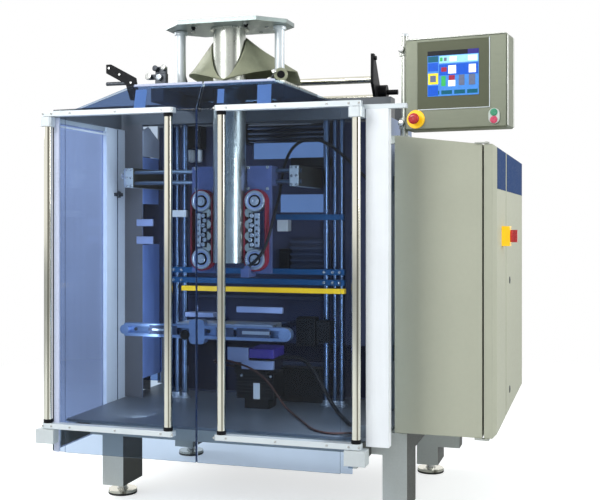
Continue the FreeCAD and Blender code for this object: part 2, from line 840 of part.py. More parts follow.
def make_start_button():
    x = hmi_x0 + hmi_w - start_in
    z = hmi_z0 + button_low
    return turned(block(x - start_w / 2, x + start_w / 2, hmi_front - start_t, hmi_front,
                        z - start_h / 2, z + start_h / 2))


# Film pull belts, side = -1 left, +1 right

belt_x = tube_d / 2 + belt_film_gap + belt_t + belt_pulley_d / 2


rail_y = tube_y + tube_d / 2 + rail_d / 2 + rail_tube_gap


def stadium(x, r, z0, z1, y0, y1):
    """A flat-sided loop outline, filled, through the depth from y0 to y1."""
    return fused([rod_y(x, y0, y1, z0, 2 * r), rod_y(x, y0, y1, z1, 2 * r), block(x - r, x + r, y0, y1, z0, z1)])


def make_belt(side):
    x = side * belt_x
    y0 = tube_y - belt_w / 2
    y1 = tube_y + belt_w / 2
    r = belt_pulley_d / 2
    outer = stadium(x, r + belt_t, belt_z_bottom, belt_z_top, y0, y1)
    return outer.cut(stadium(x, r, belt_z_bottom, belt_z_top, y0, y1))


def make_belt_pulleys(side):
    x = side * belt_x
    y0 = tube_y - belt_w / 2
    y1 = tube_y + belt_w / 2
    wheels = [rod_y(x, y0, y1, z, belt_pulley_d) for z in (belt_z_bottom, belt_z_top)]
    gap = (belt_z_top - belt_z_bottom) / (press_roller_count + 1)
    for i in range(press_roller_count):
        z = belt_z_bottom + gap * (i + 1)
        wheels.append(rod_y(x - side * (belt_pulley_d - press_roller_d) / 2, y0, y1, z, press_roller_d))
    return wheels


def make_carriage(side):
    x = side * belt_x
    y0 = tube_y + belt_w / 2
    r = belt_pulley_d / 2 + carriage_margin
    z1 = rail_z_top + rail_d
    plate = block(x - r, x + r, y0, y0 + carriage_t, belt_z_bottom - r, z1)
    shoe = block(x - r, x + r, y0 + carriage_t, rail_y + rail_d, rail_z_bottom - rail_d, z1)
    room = tube_d / 2 + carriage_tube_gap
    whole = fused([plate, shoe]).cut(block(-room, room, y0 - 1, bulkhead_y, tube_bottom - belt_pulley_d, z1))
    for z in (rail_z_top, rail_z_bottom):
        whole = whole.cut(rod_x(rail_x0, rail_x1, rail_y, z, rail_d))
    if side < 0:
        return whole
    top = belt_z_bottom - belt_pulley_d / 2 - belt_t - belt_clear
    low = block(room, room + sensor_w, sensor_front, y0 + carriage_t, top - sensor_h / 2, top)
    front = block(room, room + sensor_w, sensor_front, sensor_front + sensor_d, top - sensor_h / 2, top + sensor_h / 2)
    return fused([whole, low, front, gland(route_points(loop_route), loop_d, 1)])


def make_carriage_rails():
    return [rod_x(rail_x0, rail_x1, rail_y, z, rail_d) for z in (rail_z_top, rail_z_bottom)]


def make_rail_blocks():
    """Clamps that hold the rails to arms from the bulkhead."""
    blocks = []
    half = rail_block_half
    for x in (rail_x0 + rail_end, rail_x1 - rail_end):
        piece = block(x - half, x + half, rail_y - half, bulkhead_y, rail_z_bottom - half, rail_z_top + half)
        for z in (rail_z_top, rail_z_bottom):
            piece = piece.cut(rod_x(x - half, x + half, rail_y, z, rail_d))
        blocks.append(piece)
    return blocks


# Sealing gear

def make_guide_rods():
    """Upright rods, and the slide rods that carry both jaws from the bulkhead."""
    return [rod(s * x, guide_rod_y, floor_top, column_top, d) for s in (-1, 1)
            for x, d in zip(guide_rod_x, guide_rod_d)] + make_jaw_rods()


rod_front = guide_rod_y - max(guide_rod_d) / 2


def bar_before_rods(x0, x1, z, h):
    """Flat bar seated on the front of the guide rods."""
    return block(x0, x1, rod_front - cross_bar_d, rod_front, z - h / 2, z + h / 2)


def make_cross_bars():
    reach = guide_rod_x[-1] + guide_rod_d[-1]
    bars = [bar_before_rods(-reach, reach, z, cross_bar_h) for z in cross_bar_z]
    return bars + [bar_before_rods(upper_bar[0], upper_bar[1], upper_bar[2], cross_bar_h)]


def make_yellow_bar():
    return bar_before_rods(-guide_rod_x[0], guide_rod_x[-1] + guide_rod_d[-1], yellow_bar_z, yellow_bar_h)


def make_jaw_rods():
    """Slide rods that carry both jaws from the bulkhead."""
    y0 = tube_y - jaw_gap / 2 - jaw_d
    return [rod_y(s * jaw_rod_x, y0, bulkhead_y, jaw_z, jaw_rod_d) for s in (-1, 1)]


def make_jaw(side):
    """Sealing jaw bar, side = -1 in front of the film, +1 behind it."""
    y0 = tube_y + side * jaw_gap / 2
    bar = block(-jaw_half_w, jaw_half_w, y0, y0 + side * jaw_d, jaw_z - jaw_h / 2, jaw_z + jaw_h / 2)
    return bar.cut(Part.makeCompound(make_jaw_rods()))


def make_jaw_beam():
    """Flanged beam before the front jaw, with a boss at its left end and a knuckle."""
    y1 = tube_y - jaw_gap / 2 - jaw_d
    y0 = y1 - jaw_beam_d
    z0 = jaw_z - jaw_h / 2 + jaw_beam_flange / 2
    z1 = jaw_z + jaw_h / 2 - jaw_beam_flange / 2
    x0 = jaw_beam_x0
    x1 = jaw_beam_x1
    pieces = [block(x0, x1, y0, y1, z1 - jaw_beam_flange, z1), block(x0, x1, y0, y1, z0, z0 + jaw_beam_flange),
              block(x0, x1, y1 - jaw_beam_web, y1, z0, z1), rod_y(x0, y0, y1, (z0 + z1) / 2, jaw_beam_boss),
              rod_y(x1, y0, y1, (z0 + z1) / 2, z1 - z0)]
    half = knuckle_w / 2
    knuckle = block(knuckle_x - half, knuckle_x + half, y0, y1, jaw_z - knuckle_h / 2, jaw_z + knuckle_h / 2)
    pieces.append(knuckle.makeFillet(half / 2, [e for e in knuckle.Edges if e.BoundBox.YLength > jaw_beam_d - 1]))
    return fused(pieces)


def make_jaw_drive():
    """Motor and gearbox behind the jaws, with the boxes on the floor and on the wall."""
    x0, x1, y0, y1 = drive_x0, drive_x1, drive_y0, drive_y1
    h1, h2, h3, h4 = [floor_top + h for h in drive_rise]
    dx, dy = drive_foot_in
    left, back = drive_step
    stack = [block(x0 + dx, x1 - dx, y0 + dy, y1 - dy, floor_top, h1), block(x0, x1, y0, y1, h1, h2),
             block(x0 - left, x1 - back, y0, y1 - back, h2, h3),
             block(x0 + drive_head[0], x1 - back, y0, y1 - drive_head[1], h3, h4),
             gland(route_points(cable_route), cable_d)]
    low = block(floor_box[0], floor_box[1], bulkhead_y - floor_box[2], bulkhead_y, floor_top, floor_top + floor_box[3])
    valve = block(valve_box[0], valve_box[1], bulkhead_y - valve_box[2], bulkhead_y,
                  column_top - valve_box[3], column_top - valve_box[4])
    a, b, c, d, z0, z1, z2 = fan_box
    fan = fused([block(a, b, bulkhead_y - d, bulkhead_y, z1, z2), block(a, c, bulkhead_y - d, bulkhead_y, z0, z1)])
    return [fused(stack), low, valve, fan]


# Film path

def make_film_rollers():
    """Rollers between the arms behind the top, and those before the upper window."""
    z0 = column_top + head_beam_h
    rollers = [rod_x(-roller_arm_x, roller_arm_x, y, z0 + z, d) for y, z, d in top_rollers]
    return rollers + [rod_x(inner_roller_x0, inner_roller_x1, bulkhead_y - y, column_top - z, d)
                      for y, z, d in inner_rollers]


def make_roller_brackets():
    z0 = column_top + head_beam_h
    pieces = []
    for s in (-1, 1):
        x = s * roller_arm_x
        arm = prism([V(x, y, z0 + z) for y, z in roller_arm_outline], V(s * roller_arm_t, 0, 0))
        if s > 0:
            out = x + roller_arm_t
            y, z, d, hub = reel_hub
            shaft_d, shaft = reel_shaft
            arm = fused([arm, rod_x(out, out + hub, y, z0 + z, d), rod_x(out + hub, out + hub + shaft, y, z0 + z, shaft_d)])
        pieces.append(arm)
    for x in (inner_roller_x0 - roller_arm_t, inner_roller_x1):
        pieces.append(block(x, x + roller_arm_t, bulkhead_y - inner_arm_d, bulkhead_y,
                            column_top - inner_arm_h, column_top))
    return pieces


nodes = {
    "base_frame": make_base_frame(),
    "levelling_feet": make_levelling_feet(),
    "floor_plate": [make_floor_plate(), make_cord_box()],
    "left_column": make_column(-1),
    "right_column": make_column(1),
    "head_frame": make_head_frame(),
    "forming_deck": make_forming_deck(),
    "bulkhead": make_bulkhead(),
    "forming_tube": make_forming_tube(),
    "inlet_plate": make_inlet_plate(),
    "plate_posts": make_plate_posts(),
    "forming_shoulder": make_forming_shoulder(),
    "left_side_rail": make_left_side_rail(),
    "right_hinge_arm": make_right_hinge_arm(),
    "hinge_blocks": make_hinge_blocks(),
    "left_side_panel": make_left_side_panel(),
    "left_post_strip": make_left_post_strip(),
    "right_front_strip": make_right_front_strip(),
    "cabinet_body": make_cabinet_body(),
    "cabinet_mounts": make_cabinet_mounts(),
    "cabinet_seal": make_cabinet_seal(),
    "cabinet_hinges": make_cabinet_hinges(),
    "cabinet_front_door": make_cabinet_door(cab_front, cab_seam_y - cab_seam / 2, cab_pin_y[0]),
    "cabinet_rear_door": make_cabinet_door(cab_seam_y + cab_seam / 2, cab_back, cab_pin_y[1]),
    "main_switch_plate": make_switch_plate(),
    "main_switch": make_main_switch(),
    "hmi_post": make_hmi_post(),
    "hmi_box": make_hmi_box(),
    "hmi_clamps": make_hmi_clamps(),
    "hmi_bezel": make_hmi_bezel(),
    "hmi_screen": make_hmi_screen(),
    "stop_button": make_stop_button(),
    "start_button": make_start_button(),
    "carriage_rails": make_carriage_rails(),
    "rail_blocks": make_rail_blocks(),
    "guide_rods": make_guide_rods(),
    "cross_bars": make_cross_bars(),
    "yellow_bar": make_yellow_bar(),
    "sealing_jaws": [make_jaw(-1), make_jaw(1)],
    "jaw_beam": make_jaw_beam(),
    "jaw_drive": make_jaw_drive(),
    "film_rollers": make_film_rollers(),
    "roller_brackets": make_roller_brackets(),
    "drive_hose": cord("drive_hose", hose_route, hose_d),
    "floor_cable": cord("floor_cable", cable_route, cable_d),
    "cable_loop": cord("cable_loop", loop_route, loop_d),
}
for name, side in (("left", -1), ("right", 1)):
    nodes[name + "_door_sheet"] = make_door_sheet(side)
    nodes[name + "_door_bars"] = [make_door_bar(side, top) for top in (bottom_bar_top, top_bar_top)]
    nodes[name + "_door_handle"] = make_handle_tube(side)
    nodes[name + "_door_hinge_tube"] = make_hinge_tube(side)
    nodes[name + "_belt"] = make_belt(side)
    nodes[name + "_belt_pulleys"] = make_belt_pulleys(side)
    nodes[name + "_carriage"] = make_carriage(side)

shapes = {}
for name, piece in nodes.items():
    shapes[name] = Part.makeCompound(piece) if isinstance(piece, list) else piece

box = Part.makeCompound(list(shapes.values())).BoundBox
origin = V(box.Center.x, box.Center.y, 0)

os.makedirs("parts", exist_ok=True)
for name, shape in shapes.items():
    shape.translated(-origin).exportStep("parts/%s.step" % name)
print("nodes", len(shapes), "origin", origin, "box", box)
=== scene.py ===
"""Looks of the vertical form fill seal machine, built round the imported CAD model."""
import json
import math

import bpy
import bmesh
from mathutils import Matrix, Vector


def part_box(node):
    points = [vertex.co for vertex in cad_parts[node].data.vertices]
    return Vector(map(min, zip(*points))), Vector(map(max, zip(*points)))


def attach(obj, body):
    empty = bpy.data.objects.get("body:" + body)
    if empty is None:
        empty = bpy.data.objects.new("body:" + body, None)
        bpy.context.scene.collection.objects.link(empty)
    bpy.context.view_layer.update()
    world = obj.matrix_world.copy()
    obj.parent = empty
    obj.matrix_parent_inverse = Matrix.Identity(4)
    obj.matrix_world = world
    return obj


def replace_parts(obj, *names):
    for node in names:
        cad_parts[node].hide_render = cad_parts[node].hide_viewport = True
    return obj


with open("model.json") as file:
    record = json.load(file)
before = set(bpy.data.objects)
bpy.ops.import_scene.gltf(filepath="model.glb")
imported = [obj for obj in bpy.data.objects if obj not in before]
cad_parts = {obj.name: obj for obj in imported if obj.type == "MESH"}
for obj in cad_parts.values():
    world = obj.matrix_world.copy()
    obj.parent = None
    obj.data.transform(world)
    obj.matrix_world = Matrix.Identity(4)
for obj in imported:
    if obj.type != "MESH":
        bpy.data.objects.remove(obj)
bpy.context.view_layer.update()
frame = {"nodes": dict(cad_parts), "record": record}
nodes = frame["nodes"]
MM = 0.001


def middle(node):
    low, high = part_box(node)
    return (Vector(low) + Vector(high)) / 2


# Places are in the part's own working millimetres: x = 0 and y = TUBE_Y on the forming tube's axis.
TUBE_Y = 320.0
ORIGIN = Vector((middle("forming_tube").x, middle("forming_tube").y - TUBE_Y * MM, 0.0))
FLOOR_TOP = 330.0  # upper face of the floor plate
DECK = 1572.0  # upper face of the deck under the forming set
PLATE_LOW = 1795.0  # lower face of the inlet plate
SIDES = ((-1, "left"), (1, "right"))


def at(x, y, z):
    """A point given in the part's working millimetres, in the row frame in metres."""
    return ORIGIN + Vector((x, y, z)) * MM


def limits(node):
    """Lowest and highest corner of a CAD node in working millimetres."""
    low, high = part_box(node)
    return (Vector(low) - ORIGIN) / MM, (Vector(high) - ORIGIN) / MM


# Materials

WHITE = (1.0, 1.0, 1.0, 1.0)


def srgb(r, g, b):
    """A colour written as 0-255 screen values, as the linear colour that shaders take."""
    out = []
    for c in (r, g, b):
        c /= 255
        out.append(c / 12.92 if c <= 0.04045 else ((c + 0.055) / 1.055) ** 2.4)
    return (*out, 1.0)


class Tree:
    """A few short calls for building the nodes of a material or of the world."""

    def __init__(self, owner):
        owner.use_nodes = True
        self.owner = owner
        self.nodes = owner.node_tree.nodes
        self.links = owner.node_tree.links
        self.shader = self.nodes.get("Principled BSDF")

    def add(self, kind, inputs=(), **props):
        node = self.nodes.new("ShaderNode" + kind)
        for key, value in props.items():
            setattr(node, key, value)
        for key, value in dict(inputs).items():
            self.feed(node.inputs[key], value)
        return node

    def feed(self, socket, value):
        if isinstance(value, bpy.types.NodeSocket):
            self.links.new(value, socket)
        else:
            socket.default_value = value

    def span(self, value, low, high, to_low, to_high):
        return self.add("MapRange", {"Value": value, "From Min": low, "From Max": high, "To Min": to_low,
                                     "To Max": to_high}).outputs[0]

    def noise(self, size, vector, detail=3.0, roughness=0.55):
        return self.add("TexNoise", {"Vector": vector, "Scale": 1 / size, "Detail": detail,
                                     "Roughness": roughness}).outputs[0]

    def tint(self, a, b, factor, blend="MIX"):
        mix = self.add("Mix", data_type="RGBA", blend_type=blend)
        self.feed(mix.inputs[0], factor)
        self.feed(mix.inputs[6], a)
        self.feed(mix.inputs[7], b)
        return mix.outputs[2]

    def math(self, operation, a, b=0.0):
        return self.add("Math", {0: a, 1: b}, operation=operation).outputs[0]

    def split(self, vector):
        return self.add("SeparateXYZ", {"Vector": vector}).outputs

    def turned_from(self, vector, azimuth):
        """Angle about the vertical between a direction and an azimuth, which is 0 at the machine's front."""
        way = self.split(vector)
        facing = self.math("ARCTAN2", way["X"], self.math("MULTIPLY", way["Y"], -1.0))
        return self.math("ABSOLUTE", self.math("SUBTRACT", facing, azimuth))

    def seen(self):
        """1 on rays that the camera sees, also through a clear sheet, and 0 on others."""
        rays = self.add("LightPath").outputs
        return self.math("MAXIMUM", rays["Is Camera Ray"], rays["Is Transmission Ray"])

    def mix(self, factor, one, two):
        return self.add("MixShader", {0: factor, 1: one, 2: two}).outputs[0]

    def surface(self, values):
        """Sets or links inputs of the material's own shader."""
        for key, value in values.items():
            self.feed(self.shader.inputs[key], value)

    def end(self, shader):
        """Makes a mixed shader the material's surface."""
        self.feed(self.nodes["Material Output"].inputs["Surface"], shader)


# A painted reflection, the dark line up a polished tube: its azimuth, and the angles from there where it
# starts to fade and ends.
LINE_AT, LINE_CORE, LINE_END = [math.radians(angle) for angle in (30, 4, 14)]


def look(name, colour, rough, metal=0.0, mottle=0.05, patch=0.12, grain=0.15, grain_size=0.0012,
         stretch=(1, 1, 1), edge=None, wear=0.0, round_edge=0.0012, coat=0.0, grime=0.0, painted_side_shading=None,
         shine=0.5, line=None, glow_without_lamp=0.0, under=None):
    """Finish with patchy colour, fine grain in roughness and bump, rounded and worn edges.

    The colour for faces that look sideways is painted shade where it is darker and painted light where it is
    paler;
    line is that of a painted reflection, a dark line up a tube; under is a height with the colour below it;
    the glow is a painted glow on a part that is no lamp.
    """
    t = Tree(bpy.data.materials.new(name))
    place = t.add("TexCoord").outputs["Object"]
    drawn = t.add("Mapping", {"Vector": place, "Scale": stretch}).outputs[0]
    cloud = t.noise(patch, place, 5.0)
    fine = t.noise(grain_size, drawn)
    streak = t.noise(grain_size * 6, drawn, 2.0)
    base = colour
    geometry = t.add("NewGeometry").outputs
    # Faces that look sideways get their own colour: painted shade where it is darker, painted light where it
    # is paler.
    if painted_side_shading:
        sideways = t.math("ABSOLUTE", t.split(geometry["True Normal"])["X"])
        base = t.tint(colour, painted_side_shading, t.span(sideways, 0.5, 0.7, 0.0, 1.0))
    if under:
        height, low_colour = under
        base = t.tint(low_colour, base, t.span(t.split(place)["Z"], height - 0.02, height + 0.02, 0.0, 1.0))
    # A dark line up the tube where its faces turn towards one azimuth: a painted reflection.
    if line:
        off_line = t.turned_from(geometry["True Normal"], LINE_AT)
        base = t.tint(line, colour, t.span(off_line, LINE_CORE, LINE_END, 0.0, 1.0))
    shade = t.math("MULTIPLY", t.span(cloud, 0.3, 0.7, 1 - mottle, 1 + mottle),
                   t.span(streak, 0.3, 0.7, 1 - mottle / 2, 1 + mottle / 2))
    base = t.tint(base, shade, 1.0, "MULTIPLY")
    bevel = t.add("Bevel", {"Radius": round_edge}, samples=4).outputs[0]
    if wear:
        turn = t.add("VectorMath", {0: bevel, 1: geometry["Normal"]}, operation="DOT_PRODUCT")
        rim = t.span(turn.outputs["Value"], 0.995, 0.88, 0.0, wear)
        worn = t.math("MULTIPLY", rim, t.span(cloud, 0.35, 0.6, 0.2, 1.0))
        base = t.tint(base, edge or srgb(200, 200, 195), worn)
    if grime:
        soiled = t.math("MULTIPLY", t.span(t.split(place)["Z"], 0.0, 0.35, grime, 0.0),
                        t.span(cloud, 0.3, 0.7, 0.2, 1.0))
        base = t.tint(base, srgb(96, 90, 80), soiled)
    roughness = t.math("ADD", t.span(streak, 0.3, 0.7, rough * 0.85, rough * 1.15),
                       t.span(cloud, 0.3, 0.7, -0.03, 0.03))
    bump = t.add("Bump", {"Height": fine, "Strength": grain, "Distance": 0.0004, "Normal": bevel})
    t.surface({"Base Color": base, "Roughness": roughness, "Emission Color": base, "Emission Strength": glow_without_lamp,
               "Metallic": metal, "Specular IOR Level": shine, "Coat Weight": coat, "Coat Roughness": 0.15,
               "Normal": bump.outputs[0]})
    return t.owner


def tinted(name, colour, haze=0.015, low_shade=1.0):
    """Clear tinted sheet that lets the lamps through to what is behind it; low_shade darkens it towards the
    floor as painted shade.
    """
    t = Tree(bpy.data.materials.new(name))
    place = t.add("TexCoord").outputs["Object"]
    cloud = t.noise(0.25, place, 4.0)
    shade = t.math("MULTIPLY", t.span(cloud, 0.3, 0.7, 0.96, 1.04),
                   t.span(t.split(place)["Z"], 0.2, 1.3, low_shade, 1.0))
    t.surface({"Base Color": t.tint(colour, shade, 1.0, "MULTIPLY"), "Transmission Weight": 1.0, "IOR": 1.2,
               "Roughness": t.span(cloud, 0.3, 0.7, 0.0, haze)})
    lamp = t.add("BsdfTransparent", {"Color": [c ** 0.4 for c in colour[:3]] + [1.0]}).outputs[0]
    t.end(t.mix(t.add("LightPath").outputs["Is Shadow Ray"], t.shader.outputs[0], lamp))
    return t.owner


def lit(name, colour, strength=0.62):
    """Part of a lit display under its cover glass."""
    t = Tree(bpy.data.materials.new(name))
    cloud = t.noise(0.01, t.add("TexCoord").outputs["Object"])
    shade = t.tint(colour, t.span(cloud, 0.3, 0.7, 0.9, 1.05), 1.0, "MULTIPLY")
    t.surface({"Base Color": shade, "Emission Color": shade, "Emission Strength": strength, "Roughness": 0.2,
               "Specular IOR Level": 0.12})
    return t.owner


# Directions in which a finish is drawn out, as scales of its grain.
UPRIGHT = (1, 1, 0.03)
ACROSS = (0.03, 1, 1)
looks = {
    "guard_sheet": tinted("tinted_guard", (0.44, 0.54, 0.68, 1.0)),
    "bar": look("satin_bar", srgb(218, 226, 230), 0.34, metal=0.35, mottle=0.03, stretch=ACROSS, grain=0.08),
    # The polished tubes carry a painted reflection, a dark line up each tube.
    "chrome": look("polished_tube", srgb(232, 230, 216), 0.13, metal=1.0, mottle=0.02, stretch=UPRIGHT,
                   grain=0.02, round_edge=0.0006, line=srgb(128, 124, 110)),
    "clamp": look("clamp_block", srgb(205, 212, 214), 0.38, metal=0.2, mottle=0.04, round_edge=0.003),
    "strip": look("pale_strip", srgb(244, 248, 252), 0.35, mottle=0.03, coat=0.2, stretch=UPRIGHT),
    "frame_grey": look("frame_paint", srgb(88, 93, 98), 0.48, mottle=0.08, grain=0.3, wear=0.25,
                       round_edge=0.002),
    "deck_grey": look("floor_paint", srgb(112, 118, 124), 0.42, metal=0.4, mottle=0.1, grain=0.25, wear=0.2),
    "cabinet": look("cabinet_paint", srgb(182, 184, 165), 0.55, mottle=0.025, patch=0.3, grain=0.45,
                    grain_size=0.0022, wear=0.12, edge=srgb(200, 201, 188), round_edge=0.0035, shine=0.3),
    "stainless": look("brushed_stainless", srgb(186, 190, 182), 0.3, metal=0.95, mottle=0.07, patch=0.08,
                      stretch=UPRIGHT, grain=0.25, wear=0.3, round_edge=0.0015),
    "collar_steel": look("collar_sheet", srgb(148, 152, 128), 0.5, metal=0.3, mottle=0.1, patch=0.05,
                         grain=0.1),
    "belt": look("belt_rubber", srgb(132, 36, 50), 0.66, shine=0.2, mottle=0.12, patch=0.02, grain=0.6,
                 grain_size=0.004),
    "black": look("moulded_black", srgb(16, 17, 20), 0.5, mottle=0.1, grain=0.4, round_edge=0.002,
                  shine=0.16),
    "seal": look("black_gasket", srgb(24, 24, 25), 0.7, mottle=0.1, grain=0.3),
    # The yellow bar glows though it is no lamp: a painted glow that makes it brighter.
    "yellow": look("yellow_enamel", srgb(255, 204, 20), 0.35, mottle=0.05, coat=0.2, glow_without_lamp=0.42),
    "steel_blue": look("blue_bar", srgb(26, 80, 124), 0.42, metal=0.2, shine=0.25, mottle=0.06,
                       stretch=ACROSS, grain=0.15),
    "bezel": look("bezel_frame", srgb(86, 90, 70), 0.42, metal=0.2, mottle=0.05, shine=0.25),
    "screen": lit("display_ground", srgb(70, 130, 205)),
    "red": look("red_plastic", srgb(206, 44, 48), 0.28, mottle=0.05, coat=0.4, round_edge=0.003),
    "button": look("rocker_frame", srgb(214, 222, 216), 0.4, mottle=0.03, round_edge=0.002),
    "aluminium": look("machined_plate", srgb(188, 196, 204), 0.3, metal=0.85, mottle=0.06, stretch=ACROSS,
                      grain=0.2, wear=0.2),
}
# Leg faces that look sideways are darker: painted shade.
leg_paint = look("leg_paint", srgb(202, 208, 205), 0.5, mottle=0.06, grain=0.3, wear=0.2, round_edge=0.003,
                 grime=0.25, painted_side_shading=srgb(74, 77, 74))
bolt_steel = look("bolt_steel", srgb(196, 198, 196), 0.25, metal=1.0, mottle=0.05, grain=0.05,
                  round_edge=0.0004)
dark_steel = look("dark_steel", srgb(70, 74, 80), 0.38, metal=0.7, mottle=0.08, grain=0.1)
white_plastic = look("white_plastic", srgb(228, 230, 228), 0.4, mottle=0.03)
label_blue = look("label_blue", srgb(20, 58, 108), 0.6, mottle=0.05, round_edge=0.0004, shine=0.06)
red_disc = look("rocker_red", srgb(214, 60, 100), 0.3, mottle=0.05, coat=0.3)
hose_rubber = look("hose_rubber", srgb(20, 21, 25), 0.5, shine=0.2, mottle=0.1, patch=0.03, grain=0.35,
                   grain_size=0.002)
cable_skin = look("cable_skin", srgb(66, 40, 34), 0.45, shine=0.25, mottle=0.1, patch=0.03, grain=0.2)
# The left side panel darkens towards the floor: painted shade.
blue_sheet = tinted("blue_sheet", (0.5, 0.58, 0.84, 1.0), low_shade=0.55)
# Column faces that look sideways are paler and bluer: painted light.
column_paint = look("column_paint", srgb(98, 98, 102), 0.48, mottle=0.08, grain=0.3, wear=0.25,
                    round_edge=0.002, painted_side_shading=srgb(128, 146, 180))
# Dark tinted layers behind the hood, the right one darker: painted shade.
hood_shade_sheets = {"left_door": tinted("hood_shade_left", (0.21, 0.29, 0.46, 1.0), 0.05),
                "right_door": tinted("hood_shade_right", (0.08, 0.14, 0.25, 1.0), 0.05)}
# Pale patches behind the hood: painted light.
hood_painted_light = look("hood_painted_light", srgb(150, 178, 222), 0.5, mottle=0.04, shine=0.1)
panel_steel = look("panel_steel", srgb(124, 129, 112), 0.42, metal=0.4, mottle=0.08, patch=0.2,
                   stretch=ACROSS, grain=0.3, round_edge=0.002)
plate_steel = look("plate_steel", srgb(138, 150, 148), 0.35, metal=0.8, mottle=0.07, stretch=ACROSS,
                   grain=0.2)
rear_sheet = tinted("rear_sheet", (0.2, 0.32, 0.58, 1.0), 0.004)
bulkhead_paint = look("bulkhead_paint", srgb(52, 58, 82), 0.55, mottle=0.1, grain=0.2, grain_size=0.004,
                      shine=0.15)
kick_paint = look("kick_paint", srgb(30, 33, 52), 0.55, mottle=0.15, patch=0.2, grain=0.2, grain_size=0.004,
                  shine=0.12)
gear_grey = look("gear_grey", srgb(62, 70, 92), 0.45, metal=0.3, mottle=0.1, grain=0.2, shine=0.25)
gear_pale = look("gear_pale", srgb(156, 170, 206), 0.4, metal=0.3, mottle=0.08, grain=0.15)
gear_purple = look("gear_purple", srgb(70, 56, 150), 0.4, mottle=0.08, grain=0.15)
# Rods, rails and the jaw beam are steel with a bluish base: a painted reflection of the blue sheets round
# them.
rod_steel = look("rod_steel", srgb(112, 134, 162), 0.24, metal=1.0, mottle=0.04, stretch=UPRIGHT, grain=0.04)
rail_steel = look("rail_steel", srgb(92, 108, 126), 0.32, metal=0.9, mottle=0.06, stretch=ACROSS, grain=0.1)
beam_steel = look("beam_steel", srgb(138, 160, 196), 0.34, metal=0.85, mottle=0.12, patch=0.05,
                  stretch=ACROSS, grain=0.2)
# Rail block faces that look sideways are darker: painted shade.
block_paint = look("block_paint", srgb(176, 184, 186), 0.42, metal=0.4, mottle=0.08, grain=0.2,
                   round_edge=0.003, painted_side_shading=srgb(70, 66, 54))
# Materials of the pale panes on the left column: painted light.
painted_light_blue = look("painted_light_blue", srgb(150, 180, 248), 0.5, mottle=0.05, shine=0.2)
painted_light_pale = look("painted_light_pale", srgb(226, 232, 244), 0.5, mottle=0.05, shine=0.2)
# The carriages' bluish base is partly a painted reflection of the blue sheets round them.
carriage_paint = look("carriage_paint", srgb(96, 108, 150), 0.4, metal=0.5, mottle=0.1, patch=0.05,
                      grain=0.2, wear=0.2, shine=0.3)
roller_steel = look("roller_steel", srgb(222, 220, 206), 0.16, metal=1.0, mottle=0.03, stretch=ACROSS,
                    grain=0.03, under=(1.5, srgb(84, 92, 106)))
lip_rubber = look("lip_rubber", srgb(34, 54, 88), 0.5, mottle=0.05, shine=0.2)
lilac_edge = look("lilac_edge", srgb(196, 204, 228), 0.3, mottle=0.04, round_edge=0.0008)
green_disc = look("rocker_green", srgb(40, 150, 110), 0.3, mottle=0.05, coat=0.3)

# CAD nodes whose finish isn't the one of their slot.
own_look = {"base_frame": leg_paint, "left_column": column_paint, "right_column": column_paint,
            "bulkhead": bulkhead_paint, "left_side_panel": blue_sheet, "inlet_plate": plate_steel,
            "hmi_box": panel_steel, "guide_rods": rod_steel, "carriage_rails": rail_steel,
            "rail_blocks": block_paint, "jaw_beam": beam_steel, "film_rollers": roller_steel,
            "left_carriage": carriage_paint, "right_carriage": carriage_paint,
            "left_door_hinge_tube": looks["chrome"], "right_door_hinge_tube": looks["chrome"]}
slot_of = {s["node"]: s["material_slot"] for s in frame["record"]["subparts"]}
for name, obj in nodes.items():
    obj.data.materials.clear()
    obj.data.materials.append(own_look.get(name) or looks[slot_of[name]])


# Mesh helpers. Sizes are in millimetres.

def shown(name, bm, material, body, smooth=True, bevel=0.0, segments=2):
    """Puts a bmesh into the scene as a piece that rides on a body."""
    bmesh.ops.recalc_face_normals(bm, faces=bm.faces)
    mesh = bpy.data.meshes.new(name)
    bm.to_mesh(mesh)
    bm.free()
    obj = bpy.data.objects.new(name, mesh)
    bpy.context.scene.collection.objects.link(obj)
    mesh.materials.append(material)
    if bevel:
        mod = obj.modifiers.new("bevel", "BEVEL")
        mod.width = bevel * MM
        mod.segments = segments
        mod.limit_method = "ANGLE"
        mod.angle_limit = math.radians(35)
    if smooth:
        mesh.polygons.foreach_set("use_smooth", [True] * len(mesh.polygons))
        mod = obj.modifiers.new("normals", "WEIGHTED_NORMAL")
        mod.keep_sharp = True
        mesh.set_sharp_from_angle(angle=math.radians(35))
    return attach(obj, body)


def add_box(bm, low, high):
    low, high = Vector(low), Vector(high)
    made = bmesh.ops.create_cube(bm, size=1.0)["verts"]
    for v in made:
        v.co = at(*[low[i] + (v.co[i] + 0.5) * (high[i] - low[i]) for i in range(3)])
    return made


def boxes(name, spans, material, body, bevel=1.0):
    """Bevelled blocks in one piece, each from a low and a high corner."""
    bm = bmesh.new()
    for low, high in spans:
        add_box(bm, low, high)
    return shown(name, bm, material, body, bevel=bevel)


def skin(bm, rings):
    """Closes a form over its rings of corners, with a face at either end."""
    for one, two in zip(rings, rings[1:]):
        for i in range(len(one)):
            j = (i + 1) % len(one)
            bm.faces.new((one[i], one[j], two[j], two[i]))
    bm.faces.new(rings[0][::-1])
    bm.faces.new(rings[-1])


def prism(name, outline, axis, ends, material, bevel=0.0):
    """A piece of the frame that keeps its outline between two places on an axis, x or y."""
    bm = bmesh.new()
    rings = []
    for place in ends:
        corners = [(place, a, b) if axis == "x" else (a, place, b) for a, b in outline]
        rings.append([bm.verts.new(at(*corner)) for corner in corners])
    skin(bm, rings)
    return shown(name, bm, material, "frame", smooth=bevel > 0, bevel=bevel)


